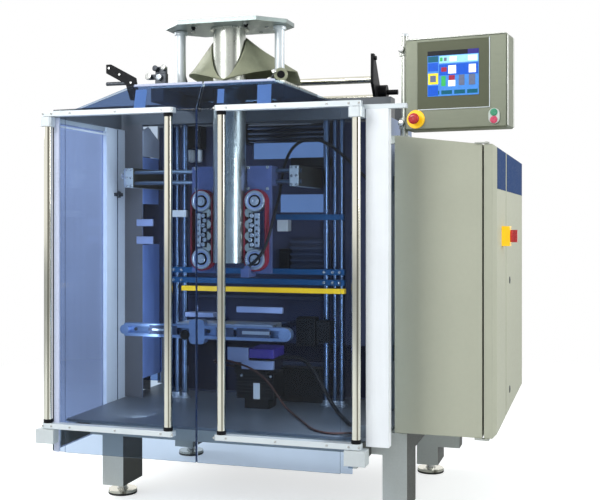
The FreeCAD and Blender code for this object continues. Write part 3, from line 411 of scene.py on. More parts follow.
def add_turned(bm, profile, centre, axis, sides=32):
    """A turned form: (radius, height) pairs round an axis from a centre point."""
    turn = Vector((0, 0, 1)).rotation_difference(Vector(axis)).to_matrix()
    rings = []
    for radius, height in profile:
        ring = []
        for i in range(sides):
            a = 2 * math.pi * i / sides
            p = turn @ Vector((radius * math.cos(a), radius * math.sin(a), height))
            ring.append(bm.verts.new(at(*(Vector(centre) + p))))
        rings.append(ring)
    skin(bm, rings)


def turned(name, places, profile, axis, material, body, sides=32):
    """The same turned form at several places, in one piece."""
    bm = bmesh.new()
    for centre in places:
        add_turned(bm, profile, centre, axis, sides)
    return shown(name, bm, material, body)


def screws(name, places, axis, material, body, r=5.0, h=4.0):
    """Socket-head screws, axis pointing out of the surface."""
    profile = [(r, 0), (r, h * 0.85), (r * 0.88, h), (r * 0.5, h), (r * 0.5, h * 0.45), (0.2, h * 0.45)]
    return turned(name, places, profile, axis, material, body, 16)


def tube_along(name, points, diameter, material, order=4, steps=8, round_steps=4):
    """A round rod or cable on the smooth curve along its points, as a curve piece."""
    curve = bpy.data.curves.new(name, "CURVE")
    curve.dimensions = "3D"
    curve.bevel_depth = diameter / 2 * MM
    curve.bevel_resolution = round_steps
    curve.resolution_u = steps
    spline = curve.splines.new("NURBS")
    spline.points.add(len(points) - 1)
    for p, q in zip(spline.points, points):
        p.co = (*at(*q), 1.0)
    spline.order_u = order
    spline.use_endpoint_u = True
    obj = bpy.data.objects.new(name, curve)
    bpy.context.scene.collection.objects.link(obj)
    curve.materials.append(material)
    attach(obj, "frame")
    return obj


def cord(node, route, diameter, material):
    """A free hose or cable on the smooth curve through its route; heights are over the floor plate."""
    obj = tube_along(node + "_line", [(x, y, FLOOR_TOP + rise) for x, y, rise in route], diameter, material,
                     3, 10, 6)
    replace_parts(obj, node)


# Cords inside the guard

hose_route = [(105, 490, 197), (151, 490, 197), (201, 492, 206), (249, 489, 194), (286, 480, 156),
              (318, 473, 108), (346, 466, 64), (374, 450, 29), (402, 418, 11), (432, 362, 8),
              (462, 297, 8), (494, 232, 8.5), (528, 196, 10.5), (556, 177, 15)]
cable_route = [(-33, 484, 158), (-60, 484.5, 160), (-88, 475, 166), (-106, 451, 175), (-106, 421, 185),
               (-88, 397, 193), (-60, 388, 197), (-28, 388, 194), (8, 392, 184), (46, 391, 174),
               (86, 386, 157), (126, 381, 128), (158, 383, 91), (182, 391, 50), (204, 392, 22),
               (230, 376, 9), (262, 334, 4.6), (300, 272, 4.4), (338, 209, 4.4), (371, 152, 4.4),
               (408, 112, 4.4), (452, 92, 4.6), (504, 92, 7), (556, 100, 13)]
loop_route = [(486, 534, 896), (450, 538, 932), (410, 545, 970), (378, 549, 998), (345, 551, 1024),
              (304, 553, 1049), (255, 555, 1060), (209, 554, 1051), (174, 550, 1021), (155, 538, 976),
              (151, 511, 930), (157, 474, 888), (167, 430, 852), (175, 386, 818), (179, 345, 785),
              (178, 313, 748), (174, 294, 706), (165, 287, 664), (151, 284, 628), (132, 282, 600),
              (112, 281, 581), (93, 281, 566)]
cord("drive_hose", hose_route, 15, hose_rubber)
cord("floor_cable", cable_route, 8, cable_skin)
cord("cable_loop", loop_route, 12, hose_rubber)

# Base

foot_places = [(x, y, 18.0) for x in (-445.0, 656.0) for y in (312.5, 987.5)]
turned("foot_nuts", foot_places, [(21, 0), (21, 3), (17, 4), (17, 13), (16, 15), (10, 15), (10, 29)],
       (0, 0, 1), bolt_steel, "frame", 24)
turned("foot_rubbers", [(x, y, 0.5) for x, y, z in foot_places], [(54, 0), (55.6, 1.5), (55.6, 7), (54, 9)],
       (0, 0, 1), looks["seal"], "frame", 48)

# Doors

DOOR_TOP, DOOR_LOW = 1464.0, 331.0
GLASS_LOW, GLASS_TOP = 224.0, 1456.0
bar_heights = (DOOR_TOP - 9.5, DOOR_LOW - 9.5)
for side, word in SIDES:
    body = word + "_door"
    ends = [(side * x, -17.0, z) for x in (100.0, 577.0)
            for z in (DOOR_LOW, DOOR_LOW + 7, DOOR_TOP - 26, DOOR_TOP - 33)]
    turned(word + "_tube_collars", ends, [(15.2, 0), (16.4, 0.6), (16.4, 6.4), (15.2, 7)], (0, 0, 1),
           looks["black"], body)
    places = [(side * x, -32.0, z) for z in bar_heights for x in (78, 122, 300, 480, 555, 590)]
    screws(word + "_bar_screws", places, (0, -1, 0), bolt_steel, body, 4.0, 2.2)
    places = [(side * x, 5.2, z) for z in bar_heights for x in (180, 400)]
    screws(word + "_bar_nuts", places, (0, 1, 0), bolt_steel, body, 6.0, 4.0)
boxes("left_hinge_profile", [((-561, -6, GLASS_LOW), (-539, 5, 1443))], lilac_edge, "left_door", 1.5)
boxes("left_hinge_glazing", [((-539.2, 0.5, GLASS_LOW), (-517.5, 4.5, GLASS_TOP))], looks["guard_sheet"],
      "left_door", 0.4)
boxes("right_hinge_glazing", [((517.5, 0.5, GLASS_LOW), (560, 4.5, GLASS_TOP))], looks["guard_sheet"],
      "right_door", 0.4)
boxes("meeting_lip", [((-3.2, 0.5, GLASS_LOW), (2.2, 4.5, GLASS_TOP))], looks["guard_sheet"], "left_door",
      0.3)
boxes("meeting_seal", [((-6, 5.6, GLASS_LOW), (2.2, 8.6, GLASS_TOP))], lip_rubber, "left_door", 0.8)

# Hood. It is the upper part of each door's sheet, bent back, with pale patches of painted light in a dark
# layer of painted shade behind it.

HOOD_LOW, HOOD_RUN, HOOD_RISE = 1458.0, 60.0, 102.0
HOOD_LONG = math.hypot(HOOD_RUN, HOOD_RISE)
SHEET = 5.0
SHOULDER_X, HOOD_X = 518.0, 268.0


def on_hood(x, s, depth):
    """A point on the hood: s up its slope from the bend, depth into the guard from its outer face."""
    y, z = HOOD_RUN / HOOD_LONG, HOOD_RISE / HOOD_LONG
    return at(x, y * s + z * depth, HOOD_LOW + z * s - y * depth)


def hood_patches(name, side, patches, depth, thick, material):
    """Thin flat pieces parallel to the hood, each a list of (x, s) corners."""
    bm = bmesh.new()
    for corners in patches:
        skin(bm, [[bm.verts.new(on_hood(side * x, s, d)) for x, s in corners]
                  for d in (depth, depth + thick)])
    return shown(name, bm, material, dict(SIDES)[side] + "_door", smooth=False)


def leaned(x, s, side):
    """An edge of a pale patch of painted light on the hood, leaned so that it looks upright from the front
    right.
    """
    return x - side * 18 * s / HOOD_LONG, s


# Each pale patch of painted light: its two edges across the hood and its two ends up the slope.
hood_light_spans = {"left": ((200.0, 245.0, 14, 98),), "right": ((74.0, 99.0, 24, 86), (222.0, 273.0, 12, 98))}
low_s, high_s = 6.0, HOOD_LONG - 5
for side, word in SIDES:
    inner_edge = 7.0 if side > 0 else -2.2
    edge = [(inner_edge, low_s), (inner_edge, high_s)]
    shade_patches, panes = [], []
    for a, b, s0, s1 in hood_light_spans[word]:
        a0, a1, a2, a3 = [leaned(a, s, side) for s in (low_s, s0, s1, high_s)]
        b0, b1, b2, b3 = [leaned(b, s, side) for s in (low_s, s0, s1, high_s)]
        shade_patches += [[edge[0], a0, a3, edge[1]], [a0, b0, b1, a1], [a2, b2, b3, a3]]
        panes.append([a1, b1, b2, a2])
        edge = [b0, b3]
    end = SHOULDER_X - low_s * (SHOULDER_X - HOOD_X) / HOOD_LONG - 8
    shade_patches.append([edge[0], (end, low_s), (HOOD_X, high_s - 3), edge[1]])
    # A pale strip along the hood's top edge: a painted highlight where light catches the sheet's edge.
    cap = [(3, HOOD_LONG - 9), (HOOD_X + 1, HOOD_LONG - 9), (HOOD_X - 1, HOOD_LONG + 0.4),
           (3, HOOD_LONG + 0.4)]
    hood_patches(word + "_hood_painted_shade", side, shade_patches, SHEET + 0.6, 1.5, hood_shade_sheets[word + "_door"])
    hood_patches(word + "_hood_light_panes", side, panes, SHEET + 0.6, 1.5, hood_painted_light)
    hood_patches(word + "_hood_edge_highlight", side, [cap], -0.5, SHEET + 1, lilac_edge)

# Left side of the housing, seen through the left door and over the side panel

prism("left_side_beam", [(16, 1443.3), (509.7, 1443.3), (509.7, 1540), (16, 1474)], "x", (-577, -551),
      looks["frame_grey"], 2.0)
boxes("strip_groove", [((-557.3, 481, 224), (-556.2, 487, 1441))], lip_rubber, "frame", 0.3)
boxes("strip_latch", [((-557.2, 452, 1166), (-549, 520, 1180)), ((-552, 470, 1160), (-543, 488, 1186))],
      dark_steel, "frame", 2.5)
# Pale panes and a pale wedge on the column's inner side: painted light where the room shows past the column.
PANE_X = (-475.8, -474.2)
boxes("column_light_panes", [((PANE_X[0], 552, low), (PANE_X[1], 738, top))
                       for low, top in ((1135, 1330), (410, 965))], painted_light_blue, "frame", 0.4)
prism("column_light_wedge", [(552, 1333), (738, 1333), (738, 1392), (600, 1461), (552, 1440)], "x", PANE_X,
      painted_light_pale)
boxes("left_rail_edge", [((-553.6, 16, 1409.2), (-550.6, 389, 1416))], looks["strip"], "frame", 0.8)

# Forming set

RIM_R = 65.0
FRONT_RISE, SIDE_RISE, BACK_RISE = 22.0, 172.0, 203.0
LIP, WALL = 12.0, 4.0
CORNER = (225.0, 140.0, 68.0)
REAR = (200.0, 276.0, 40.0)
ARCH, BOW = 14.0, 44.0


def rim_point(angle):
    """A point of the collar's inner edge, by the angle round the tube from its front."""
    turn = 1 - math.cos(angle)
    if angle <= math.pi / 2:
        rise = FRONT_RISE + (SIDE_RISE - FRONT_RISE) * turn ** 0.8
    else:
        rise = SIDE_RISE + (BACK_RISE - SIDE_RISE) * (turn - 1)
    return Vector((RIM_R * math.sin(angle), TUBE_Y - RIM_R * math.cos(angle), DECK + rise))


def edge_point(part, t):
    """A point of the collar's outer edge, at t from 0 to 1 along its front, side or rear part."""
    lip = Vector((0, TUBE_Y - RIM_R - LIP, DECK + FRONT_RISE - WALL))
    corner = Vector((CORNER[0], TUBE_Y + CORNER[1], DECK + CORNER[2]))
    rear = Vector((REAR[0], TUBE_Y + REAR[1], DECK + REAR[2]))
    back = Vector((0, rear.y, rear.z))
    a, b = ((lip, corner), (corner, rear), (rear, back))[part]
    p = a.lerp(b, t)
    if part == 0:
        swell = math.sin(math.pi * t)
        span = corner - lip
        p += Vector((span.y, -span.x, 0)).normalized() * BOW * swell
        p.z += ARCH * swell
    return p


def collar():
    """Collar with two wings, in smooth sheets with the same outline as the part's folds."""
    bm = bmesh.new()
    across, along = 22, 20
    stretches = ((0, 0.0, math.pi / 2), (1, math.pi / 2, math.pi * 0.75), (2, math.pi * 0.75, math.pi))
    for side in (-1, 1):
        for part, a0, a1 in stretches:
            grid = []
            for i in range(along + 1):
                t = i / along
                rim = rim_point(a0 + (a1 - a0) * t)
                edge = edge_point(part, t)
                row = []
                for j in range(across + 1):
                    s = j / across
                    p = rim.lerp(edge, s)
                    p.z += 5 * (1 - s) ** 3 * s
                    row.append(bm.verts.new(at(side * p.x, p.y, p.z)))
                grid.append(row)
            for i in range(along):
                for j in range(across):
                    bm.faces.new((grid[i][j], grid[i + 1][j], grid[i + 1][j + 1], grid[i][j + 1]))
    bmesh.ops.remove_doubles(bm, verts=bm.verts, dist=0.0002)
    add_turned(bm, [(65.2, 0), (72, 0), (72, 13), (65.2, 13.5)], (0, TUBE_Y, DECK), (0, 0, 1), 64)
    obj = shown("collar_wings", bm, looks["collar_steel"], "frame", smooth=True)
    obj.modifiers.remove(obj.modifiers["normals"])
    thick = obj.modifiers.new("thick", "SOLIDIFY")
    thick.thickness = 3.4 * MM
    thick.offset = 1.0
    return obj


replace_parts(collar(), "forming_shoulder")

turned("post_rings", [(s * 200.0, TUBE_Y, z) for s in (-1, 1) for z in (DECK + 0.5, PLATE_LOW - 14)],
       [(19, 0), (25, 0), (25, 11), (23.5, 13), (19, 13)], (0, 0, 1), looks["bar"], "frame", 40)
places = [(s * x, TUBE_Y + y, PLATE_LOW) for s in (-1, 1) for x, y in ((95, -90), (95, 90), (150, 0))]
screws("plate_screws", places, (0, 0, -1), bolt_steel, "frame", 7.0, 5.0)
turned("tube_ring", [(0, TUBE_Y, PLATE_LOW - 7)], [(62.5, 0), (72, 0), (72, 6.5), (62.5, 6.5)], (0, 0, 1),
       looks["stainless"], "frame", 64)
turned("tube_ends", [(0, TUBE_Y, 907.5)], [(60.4, 0), (62.6, 0), (62.6, 9), (60.4, 9)], (0, 0, 1),
       looks["stainless"], "frame", 64)
boxes("collar_stand", [((-140, 591.5, DECK + 0.3), (140, 595.5, 1609))], looks["frame_grey"], "frame", 1.0)
EYE, EYE_AXIS = (222.0, 268.0, 1604.0), (0.35, -1, 0.05)
turned("film_eye_ring", [EYE], [(15, -8), (24, -8), (26, -5), (26, 5), (24, 8), (15, 8), (13.5, 5)],
       EYE_AXIS, looks["collar_steel"], "frame", 40)
turned("film_eye_hole", [EYE], [(13.6, -9), (13.6, 8.4), (11, 8.8), (0.3, 8.4)], EYE_AXIS, looks["black"],
       "frame")
turned("film_eye_foot", [(222.0, 270.0, DECK + 0.2)], [(15, 0), (15, 4), (9, 6), (8, 9)], (0, 0, 1),
       bolt_steel, "frame")
turned("film_eye_knobs", [(200.0, 262.0, 1612.0), (183.0, 262.0, 1583.0)],
       [(4, -10), (4, 6), (8, 7), (9, 9), (9, 15), (7, 17), (2, 17.5)], (0.1, -1, 0.3), bolt_steel,
       "frame", 24)
tube_along("film_eye_rod", [(183, 268, 1574), (183, 268, 1600), (200, 268, 1616), (226, 268, 1628)], 7,
           dark_steel)
clamp_knobs = ((-284.0, 1610.0, 13, bolt_steel), (-256.0, 1640.0, 11, dark_steel),
               (-222.0, 1642.0, 11, bolt_steel), (-240.0, 1606.0, 12, looks["aluminium"]))
for i, (x, z, r, material) in enumerate(clamp_knobs):
    turned("deck_clamp_knob_%d" % i, [(x, 214.0, z)],
           [(r * 0.5, -12), (r * 0.5, 0), (r * 0.9, 1), (r, 3), (r, 9), (r * 0.7, 11)],
           (-0.2, -1, 0.1), material, "frame", 28)
boxes("deck_clamp_block", [((-261, 215, DECK + 0.3), (-216, 238, 1622)),
                           ((-292, 219, 1600), (-258, 232, 1620)),
                           ((-262, 219, 1620), (-216, 232, 1648))], dark_steel, "frame", 2.5)
for i, x in enumerate((-118.0, 92.0)):
    turned("plate_pin_%d" % i, [(x, 250.0, PLATE_LOW + 0.2)], [(9, 0), (9, 5), (6, 7), (6, 12), (1, 12.5)],
           (0, 0, -1), looks["black"], "frame", 20)

# Left arm of the film path

ARM_Y = (484, 500)
prism("left_film_arm", [(-611, 1712), (-590, 1712), (-478, 1652), (-462, 1560.4), (-500, 1560.4),
                        (-522, 1628), (-611, 1676)], "y", ARM_Y, looks["black"], 2.0)
turned("left_arm_rod", [(-612, 492, 1632)], [(5, 0), (8, 1), (8, 96), (6, 98)], (1, 0, 0), dark_steel,
       "frame", 24)
screws("left_arm_bolts", [(x, ARM_Y[0], z) for x, z in ((-596, 1696), (-548, 1668), (-496, 1632))],
       (0, -1, 0), bolt_steel, "frame")

# Film drive

PULLEY_X = 62 + 1 + 5 + 40  # tube radius, gap to the belt, its thickness and the radius of its turns
BELT_TOP, BELT_LOW, BELT_R = 1140.0, 921.0, 40.0
BELT_TEETH = 76
FACE_Y = TUBE_Y - 19  # front face of the pulleys
rim = [(38.6, 0), (38.6, 3), (37, 5), (31, 5), (29.6, 3.5), (29.6, 0.6)]
well = [(31, 0), (31, 0.9), (0.3, 0.9)]
groove = [(24, 0), (24, 1.6), (0.3, 1.6)]
boss = [(17, 0), (17, 5), (15, 7), (10, 7), (9.4, 10), (4, 10), (3.4, 8), (0.3, 8)]
press_ring = [(8.0, 0), (8.0, 5), (6.9, 6), (4.4, 6), (4.1, 3), (0.3, 3)]


def on_belt(s):
    """Place on the belt round its two pulleys and the turn of the belt there, by the way s along it."""
    run, half_turn = BELT_TOP - BELT_LOW, math.pi * BELT_R
    if s < run:
        return BELT_R, BELT_LOW + s, 0.0
    if s < run + half_turn:
        a = (s - run) / BELT_R
        return BELT_R * math.cos(a), BELT_TOP + BELT_R * math.sin(a), a
    if s < 2 * run + half_turn:
        return -BELT_R, BELT_TOP - (s - run - half_turn), math.pi
    a = math.pi + (s - 2 * run - half_turn) / BELT_R
    return BELT_R * math.cos(a), BELT_LOW + BELT_R * math.sin(a), a


def belt_teeth(name, middle_x):
    """The ribs round a belt's outer face."""
    bm = bmesh.new()
    around = 2 * (BELT_TOP - BELT_LOW) + 2 * math.pi * BELT_R
    for i in range(BELT_TEETH):
        x, z, a = on_belt(around * i / BELT_TEETH)
        spin = Matrix.Rotation(-a, 3, "Y")
        for v in add_box(bm, (-2.2, FACE_Y + 1, -1.6), (-0.2, FACE_Y + 37, 1.6)):
            local = (v.co - ORIGIN) / MM
            p = spin @ Vector((local.x, 0, local.z))
            v.co = at(middle_x + x + p.x, local.y, z + p.z)
    return shown(name, bm, looks["belt"], "frame", smooth=False)


for side, word in SIDES:
    axle_x = side * PULLEY_X
    ends = [(axle_x, FACE_Y - 0.2, z) for z in (BELT_TOP, BELT_LOW)]
    for part, profile, material in (("rims", rim, looks["aluminium"]), ("wells", well, gear_pale),
                                    ("grooves", groove, looks["black"]),
                                    ("bosses", boss, looks["aluminium"])):
        turned(word + "_pulley_" + part, ends, profile, (0, -1, 0), material, "frame",
               56 if part == "rims" else 40)
    x0, x1 = sorted((axle_x + side, axle_x + side * 21))
    boxes(word + "_roller_plate", [((x0, FACE_Y - 7, BELT_LOW + 46), (x1, FACE_Y - 1, BELT_TOP - 46))],
          looks["aluminium"], "frame", 1.5)
    x0, x1 = sorted((axle_x, axle_x - side * 23))
    boxes(word + "_roller_well", [((x0, FACE_Y - 2, BELT_LOW + 44), (x1, FACE_Y - 0.4, BELT_TOP - 44))],
          looks["black"], "frame", 0.6)
    places = [(axle_x - side * (16 if i % 2 else 10), FACE_Y - 2, BELT_LOW + 55 + 18.2 * i)
              for i in range(7)]
    turned(word + "_press_rings", places, press_ring, (0, -1, 0), looks["aluminium"], "frame", 28)
    places = [(axle_x + side * 11, FACE_Y - 7, BELT_LOW + 62 + 22 * i) for i in range(5)]
    screws(word + "_roller_screws", places, (0, -1, 0), dark_steel, "frame", 4.6, 3.0)
    belt_teeth(word + "_belt_teeth", axle_x)

rail_end = limits("carriage_rails")[0].x
boxes("rail_end_plates", [((rail_end - 2, 384, 1200), (rail_end + 12, 412, 1274))], looks["aluminium"],
      "frame", 2)
turned("rail_end_knobs", [(rail_end - 2, 398.0, 1245.0)], [(7, 0), (15, 1), (15, 10), (12, 14), (5, 15)],
       (-1, 0, 0), bolt_steel, "frame")
places = [(x + dx, 380.0, z) for x in (-452.0, 238.0) for z in (1204.0, 1237.0, 1270.0) for dx in (-10, 10)]
screws("rail_block_screws", places, (0, -1, 0), bolt_steel, "frame", 5.5, 5.0)
places = [(s * PULLEY_X + dx, 339.0, z) for s in (-1, 1) for z in (1188.0, 1268.0) for dx in (-38, 38)]
screws("carriage_screws", places, (0, -1, 0), bolt_steel, "frame", 6.0, 5.0)

# Sealing gear

beam_low, beam_high = limits("jaw_beam")
places = [(x, beam_high.y - 8, 650.0) for x in (-360, -300, -240, -60, 20, 100, 180)]
screws("jaw_beam_screws", places, (0, -1, 0), dark_steel, "frame", 6.5, 5.0)
boxes("beam_slots", [((x0, 231.8, 636), (x1, 233, 670)) for x0, x1 in ((-292, -178), (-20, 50), (62, 190))],
      gear_grey, "frame", 0.4)
boxes("beam_slide", [((84, 230.6, 648), (190, 232, 660)), ((-280, 230.6, 650), (-230, 232, 657))],
      looks["aluminium"], "frame", 0.4)
turned("jaw_beam_eye", [(-146.0, beam_low.y, 638.0)], [(19, -0.2), (19, 3), (16, 4), (14, 2), (0.3, 2)],
       (0, -1, 0), looks["black"], "frame", 40)
boxes("jaw_serrations", [((-188, y, 626 + 6.5 * i), (188, y + 1.4, 629 + 6.5 * i)) for i in range(8)
                         for y in (315.8, 322.8)], looks["aluminium"], "frame", 0.4)
rod_xs = (305.0, 340.0, 368.0)
turned("rod_feet", [(s * x, 600.0, FLOOR_TOP + 0.5) for s in (-1, 1) for x in rod_xs],
       [(24, 0), (24, 7), (20, 9), (15, 9), (15, 20), (14, 22)], (0, 0, 1), looks["aluminium"], "frame")
places = [(s * x, 561.0, z) for s in (-1, 1) for x in rod_xs for z in (863, 822)]
screws("cross_bar_screws", places, (0, -1, 0), bolt_steel, "frame", 6.0, 5.0)
fins = [((-17, 437.5, 380 + 13 * i), (137, 441, 386 + 13 * i)) for i in range(7)]
boxes("motor_fins", fins, looks["black"], "frame", 0.8)
boxes("motor_label", [((54, 436.6, 372), (81, 437.4, 434))], white_plastic, "frame", 0.3)
screws("motor_screws", [(x, 438.0, 462.0) for x in (6, 126)], (0, -1, 0), bolt_steel, "frame", 5.0, 5.0)
boxes("drive_bracket", [((10, 421, 489), (141, 439, 523))], gear_pale, "frame", 2.0)
boxes("drive_side_plate", [((-50, 425, 515), (37, 439, 572))], gear_pale, "frame", 2.0)
boxes("drive_block", [((38, 426, 532), (141, 560, 569))], gear_purple, "frame", 3.0)
boxes("seal_valve", [((208, 500, 578), (286, 560, 688)), ((286, 510, 590), (344, 556, 676)),
                     ((226, 494, 600), (268, 501, 640))], looks["black"], "frame", 5.0)
boxes("under_plates", [((0, 392, 711), (186, 412, 734)), ((-215, 392, 688), (-96, 440, 706))], gear_pale,
      "frame", 2.0)

# Wall gear on the bulkhead, and the wall that closes the rear under it

WALL_Y = 699.5  # front face of what stands on the bulkhead's front
boxes("wall_sensor", [((80, 650, 1022), (127, WALL_Y, 1071))], white_plastic, "frame", 4.0)
boxes("wall_switch", [((89, 650, 869), (132, WALL_Y, 950)), ((97, 645, 880), (124, 651, 938))],
      looks["black"], "frame", 3.0)
ribs = [((133, 660, 873 + 25 * i), (300, WALL_Y, 885 + 25 * i)) for i in range(5)]
boxes("wall_ribs", ribs + [((133, 680, 871), (300, WALL_Y, 991))], gear_grey, "frame", 2.0)
boxes("wall_channel", [((-440, 684, low), (end_x, WALL_Y, top))
                       for end_x, low, top in ((70, 1090, 1104), (280, 740, 756), (280, 640, 650))],
      gear_grey, "frame", 2.0)
boxes("rod_clamp_plate", [((-362, 566, 1081), (-286, 586, 1109))], white_plastic, "frame", 3.0)
boxes("column_clips", [((-499, 539, 1043), (-424, 549.5, 1072)), ((-499, 539, 969), (-424, 549.5, 1000))],
      gear_pale, "frame", 2.0)
boxes("kick_wall", [((-468, 775, 331), (570, 779, 562))], kick_paint, "frame", 1.0)
boxes("kick_ledge", [((70, 758, 449), (300, 774.5, 474)), ((-460, 764, 331), (560, 774.5, 337))], gear_grey,
      "frame", 2.0)
turned("filter_cups", [(-305.0, 668.0, 1311.0), (-272.0, 668.0, 1311.0)],
       [(6, 0), (13, 4), (14, 10), (14, 52), (9, 54)], (0, 0, 1), white_plastic, "frame", 32)
fan_ribs = [((152 + 11 * i, 614, 1227), (158 + 11 * i, 620.5, 1345 if i > 7 else 1281)) for i in range(8)]
boxes("block_ribs", fan_ribs, looks["black"], "frame", 0.8)

# Tinted panes behind the open windows of the bulkhead

plate_low, plate_high = limits("bulkhead")
pane_y = (plate_high.y + 0.5, plate_high.y + 3.5)
boxes("rear_panes", [((plate_low.x - 20, pane_y[0], 374), (-470, pane_y[1], 559)),
                     ((plate_low.x - 20, pane_y[0], 560), (-330, pane_y[1], 1336)),
                     ((-329, pane_y[0], 560), (plate_high.x, pane_y[1], 1462))], rear_sheet, "frame", 0.5)

# Film rollers

places = [(s * 429.0, y, z) for s in (-1, 1) for y, z in ((840, 1655), (944, 1594), (962, 1566))]
turned("roller_ends", places, [(8, -3), (11, -2), (11, 2), (8, 3)], (1, 0, 0), bolt_steel, "frame", 24)
turned("arm_knobs", [(444.5, 840.0, 1744.0)], [(5, 0), (9, 2), (9, 10), (4, 11)], (1, 0, 0), looks["black"],
       "frame", 24)

# Cabinet

LEAF_X = 1013.0  # outer face of the two door leaves
for name, body, y0, y1 in (("front_label", "cabinet_front_leaf", 213.0, 512.0),
                           ("rear_label", "cabinet_rear_leaf", 558.0, 1270.0)):
    boxes(name, [((LEAF_X - 0.5, y0, 1176.0), (LEAF_X + 1.2, y1, 1316.0))], label_blue, body, 0.5)
lock = [(14, 0), (14, 1.5), (12, 3), (7, 3), (6.5, 1.2), (0.3, 1.2)]
turned("cabinet_locks", [(LEAF_X - 0.3, 677.0, z) for z in (419.0, 838.0)], lock, (1, 0, 0), dark_steel,
       "cabinet_rear_leaf")
places = [(1041.0, 400 + sy * 26, 1012 + sz * 28) for sy in (-1, 1) for sz in (-1, 1)]
screws("switch_screws", places, (1, 0, 0), bolt_steel, "cabinet_front_leaf", 2.8, 1.5)

# Operator panel. Its face is turned about the post, so its own pieces are made square and turned with it.

POST = Vector((643.0, 477.0, 0.0))
PANEL_TURN = math.radians(-7.3)
PANEL_X0 = 663.0
PANEL_Y = 422.0
PANEL_Z0 = 1400.0


def with_panel(obj):
    """Turns a piece made square to the machine so that it lies on the panel's face."""
    pivot = at(POST.x, POST.y, 0)
    spin = Matrix.Translation(pivot) @ Matrix.Rotation(PANEL_TURN, 4, "Z") @ Matrix.Translation(-pivot)
    obj.data.transform(spin)
    return obj


def tile(name, x0, x1, z0, z1, material, depth=0.6):
    """Flat field on the display, in millimetres from the screen's lower left corner."""
    x, z = PANEL_X0 + 88, PANEL_Z0 + 120
    y = PANEL_Y - 5.0
    return with_panel(boxes(name, [((x + x0, y - depth, z + z0), (x + x1, y + 0.2, z + z1))], material,
                            "operator_panel", 0.2))


# Fields of each colour as x0, x1, z0, z1.
display = {
    "black": (lit("display_black", srgb(14, 16, 26), 0.5), ((0, 150, 148, 165),)),
    "indigo": (lit("display_indigo", srgb(50, 44, 120)), ((150, 190, 148, 165),)),
    "teal": (lit("display_teal", srgb(20, 86, 104)), ((2, 40, 125, 146), (4, 44, 6, 20), (52, 92, 6, 20),
                                                     (100, 140, 6, 20), (148, 186, 6, 20))),
    "blue": (lit("display_blue", srgb(28, 84, 190)), ((2, 40, 92, 122), (2, 40, 2, 39), (44, 188, 75, 115))),
    "yellow": (lit("display_yellow", srgb(236, 214, 60)), ((2, 40, 44, 84),)),
    "aqua": (lit("display_aqua", srgb(150, 206, 220)), ((44, 188, 119, 146),)),
    "white": (lit("display_white", srgb(236, 244, 250)), ((83, 109, 124, 142), (151, 184, 124, 142),
                                                         (78, 107, 80, 110), (154, 180, 80, 110),
                                                         (78, 104, 34, 56))),
    "green": (lit("display_green", srgb(60, 170, 90)), ((47, 57, 126, 140), (52, 68, 36, 72))),
    "grey": (lit("display_grey", srgb(96, 104, 128)), ((10, 32, 52, 76), (62, 72, 127, 139),
                                                      (117, 138, 36, 74), (154, 177, 36, 74))),
    "maroon": (lit("display_maroon", srgb(150, 40, 62)), ((80, 102, 56, 74), (52, 72, 88, 104))),
}
for level, (shade, (material, fields)) in enumerate(display.items()):
    for i, (x0, x1, z0, z1) in enumerate(fields):
        tile("display_%s_%d" % (shade, i), x0, x1, z0, z1, material, 0.5 + 0.08 * level)


def on_panel(name, x, z, profile, material, y, sides=40):
    """A turned form that stands out of the panel's face."""
    return with_panel(turned(name, [(x, y, z)], profile, (0, -1, 0), material, "operator_panel", sides))


def two_tone(obj, material, test):
    """Gives the faces whose middle passes the test a second material."""
    obj.data.materials.append(material)
    for face in obj.data.polygons:
        if test((face.center - ORIGIN) / MM):
            face.material_index = len(obj.data.materials) - 1
    return obj


STOP_X, START_X, BUTTON_Z = PANEL_X0 + 42, PANEL_X0 + 380 - 47, PANEL_Z0 + 40
BUTTON_R, BUTTON_HALF = 20, 8  # the rocker's round ends and half the straight run between them
stop_at = (STOP_X, PANEL_Y, BUTTON_Z)
bm = bmesh.new()
add_turned(bm, [(34, 0), (34, 2.4), (32.4, 4), (13.5, 4), (12, 4.6)], stop_at, (0, -1, 0), 56)
add_turned(bm, [(12, 4.6), (12, 20), (17, 20.6), (20, 24), (20, 30), (18.4, 34), (14, 37), (7.5, 38),
                (6.8, 36.6), (0.3, 36.6)], stop_at, (0, -1, 0), 48)
stop = shown("stop_mushroom", bm, looks["yellow"], "operator_panel")
two_tone(stop, looks["red"], lambda c: c.y < PANEL_Y - 4.4)
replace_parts(with_panel(stop), "stop_button")

bm = bmesh.new()
rings = []
for inset, depth in ((0.0, 0.0), (0.0, -5.5), (1.0, -7.2), (2.6, -8.0), (5.0, -7.6)):
    ring = []
    for i in range(48):
        a = 2 * math.pi * i / 48
        centre_z = BUTTON_Z + (BUTTON_HALF if math.sin(a) >= 0 else -BUTTON_HALF)
        r = BUTTON_R - inset
        ring.append(bm.verts.new(at(START_X + r * math.cos(a), PANEL_Y + depth, centre_z + r * math.sin(a))))
    rings.append(ring)
skin(bm, rings)
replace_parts(with_panel(shown("start_surround", bm, looks["button"], "operator_panel")), "start_button")
key = [(13.2, 0), (13.2, 2.2), (12, 3.4), (8, 3.8), (0.3, 3.0)]
on_panel("start_key_upper", START_X, BUTTON_Z + 13, key, green_disc, PANEL_Y - 7.4)
on_panel("start_key_lower", START_X, BUTTON_Z - 13.5, key, red_disc, PANEL_Y - 7.4)

